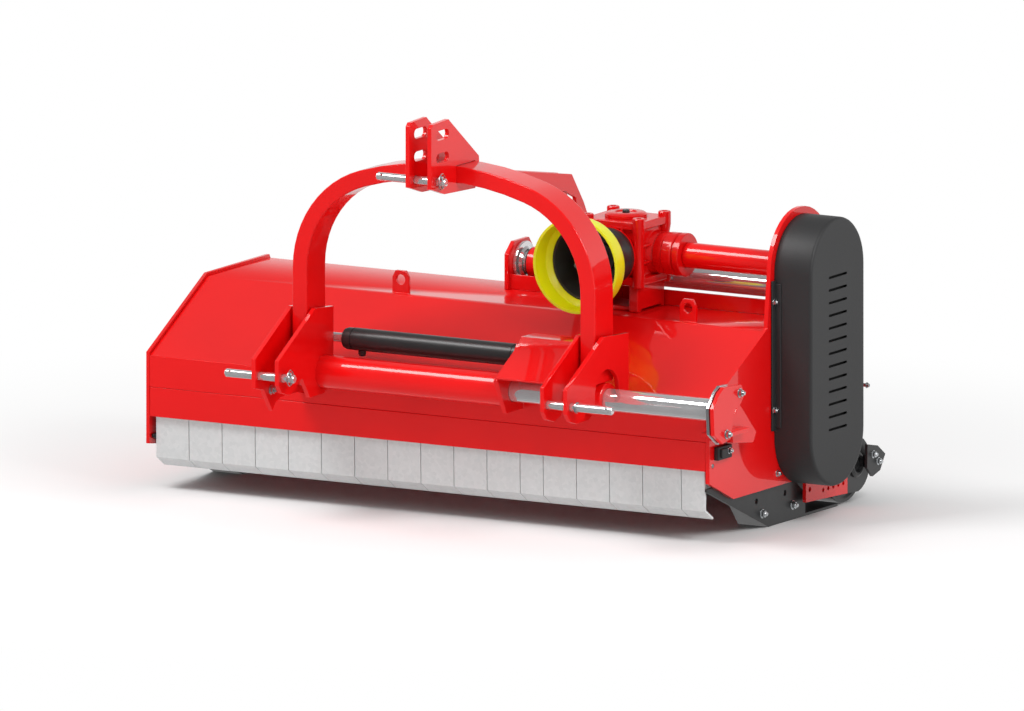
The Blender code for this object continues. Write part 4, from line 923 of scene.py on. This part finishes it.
mirrored = add_node(tree, "ShaderNodeEmission", {"Color": linear("FFFFFF"), "Strength": sheen.outputs["Result"]})
mix = add_node(tree, "ShaderNodeMixShader", {0: rays.outputs["Is Glossy Ray"], 1: mix.outputs[0],
                                             2: mirrored.outputs[0]})
tree.links.new(mix.outputs[0], tree.nodes["Material Output"].inputs["Surface"])
floor_mesh.materials.append(paper)
print("floor at", round(floor.location.z, 4))

# %% [markdown]
# ## Surround
# The surround is white for the camera and for glass. It lights matt faces at a lower level, so that each
# colour renders about as it is written. Gloss and chrome see it brightest at the horizon behind the machine,
# and dimmer in front and overhead, which is what gives the bars their long bands.

# %% World
MATT_LIGHT = 0.55
world = bpy.data.worlds.new("studio")
scene.world = world
world.use_nodes = True
tree = world.node_tree
shown = tree.nodes["Background"]
shown.inputs["Color"].default_value = linear("FFFFFF")
shown.inputs["Strength"].default_value = 1.0
light = add_node(tree, "ShaderNodeBackground", {"Color": linear("FFFFFF"), "Strength": MATT_LIGHT})
rays = add_node(tree, "ShaderNodeLightPath", {})
seen = add_node(tree, "ShaderNodeMath", {0: rays.outputs["Is Camera Ray"], 1: rays.outputs["Is Transmission Ray"]},
                operation="MAXIMUM")
direction = add_node(tree, "ShaderNodeTexCoord", {}).outputs["Generated"]
ways = add_node(tree, "ShaderNodeSeparateXYZ", {0: direction})
banded = add_node(tree, "ShaderNodeMapRange", {"Value": ways.outputs["Z"], "From Min": 0.15, "From Max": 0.75,
                                               "To Min": 0.85, "To Max": 0.26}, interpolation_type="SMOOTHSTEP")
behind = add_node(tree, "ShaderNodeMapRange", {"Value": ways.outputs["Y"], "From Min": -0.9, "From Max": 0.1,
                                               "To Min": 0.25, "To Max": 1.0}, interpolation_type="SMOOTHSTEP")
level = add_node(tree, "ShaderNodeMath", {0: banded.outputs["Result"], 1: behind.outputs["Result"]},
                 operation="MULTIPLY")
gloss = add_node(tree, "ShaderNodeBackground", {"Color": linear("FFFFFF"), "Strength": level.outputs[0]})
matt_or_gloss = add_node(tree, "ShaderNodeMixShader", {0: rays.outputs["Is Glossy Ray"], 1: light.outputs[0],
                                                       2: gloss.outputs[0]})
mix = add_node(tree, "ShaderNodeMixShader", {0: seen.outputs[0], 1: matt_or_gloss.outputs[0], 2: shown.outputs[0]})
tree.links.new(mix.outputs[0], tree.nodes["World Output"].inputs["Surface"])
print("matt faces get", MATT_LIGHT, "of the white surround")

# %% [markdown]
# ## Soft boxes
# Two large soft boxes model the shape: a key from the left front, high up, and a weaker one from the right
# for the side plate and the cover. Both look at the middle of the machine.

# %% Lamps
MIDDLE = (CAD_BOX[0] + CAD_BOX[1]) / 2


def soft_box(name, place, watts, size):
    """A large rectangular lamp that looks at the machine."""
    lamp = bpy.data.lights.new(name, "AREA")
    lamp.shape, lamp.size, lamp.size_y, lamp.energy = "RECTANGLE", size[0], size[1], watts
    holder = bpy.data.objects.new(name, lamp)
    holder.location = place
    holder.rotation_euler = (MIDDLE - Vector(place)).to_track_quat("-Z", "Y").to_euler()
    scene.collection.objects.link(holder)


soft_box("key", (-2.0, -2.9, 5.1), 195, (3.0, 2.0))
soft_box("side", (4.6, -1.6, 3.8), 130, (2.4, 2.0))
scene.view_settings.view_transform = "Standard"
print("two soft boxes and a white surround")

# %% [markdown]
# ## Camera
# The camera stands 30 degrees round to the right and 10 degrees up. Edges that are parallel on the machine
# stay parallel in the picture, so the lens is orthographic, and how far away it stands doesn't matter.

# %% Camera
AZIMUTH, ELEVATION, DISTANCE = radians(30), radians(10), 8.0
AIM, WIDE = drawn(914.5, 347.6, 387.6), 2.703
away = Vector((sin(AZIMUTH) * cos(ELEVATION), -cos(AZIMUTH) * cos(ELEVATION), sin(ELEVATION)))
lens = bpy.data.cameras.new("camera")
lens.type, lens.ortho_scale = "ORTHO", WIDE
lens.clip_end = 50.0
camera = bpy.data.objects.new("camera", lens)
camera.location = AIM + away * DISTANCE
camera.rotation_euler = (-away).to_track_quat("-Z", "Y").to_euler()
scene.collection.objects.link(camera)
scene.camera = camera
print("camera at", [round(value, 3) for value in camera.location])

# %% [markdown]
# ## Finishes of the CAD solids
# Every CAD solid gets its finish too, also where a dressed piece stands for it. The dressed machine must not
# be bigger than the solids.

# %% Finish what is left
LOOKS = {"red_paint": "red", "black_paint": "black", "chrome": "chrome", "galvanised": "zinc sheet",
         "steel": "steel", "yellow_plastic": "yellow", "black_plastic": "abs", "rubber": "rubber"}
for part in frame["record"]["subparts"]:
    solid = NODES[part["node"]]
    solid.data.materials.clear()
    solid.data.materials.append(FINISHES[LOOKS[part["material_slot"]]])
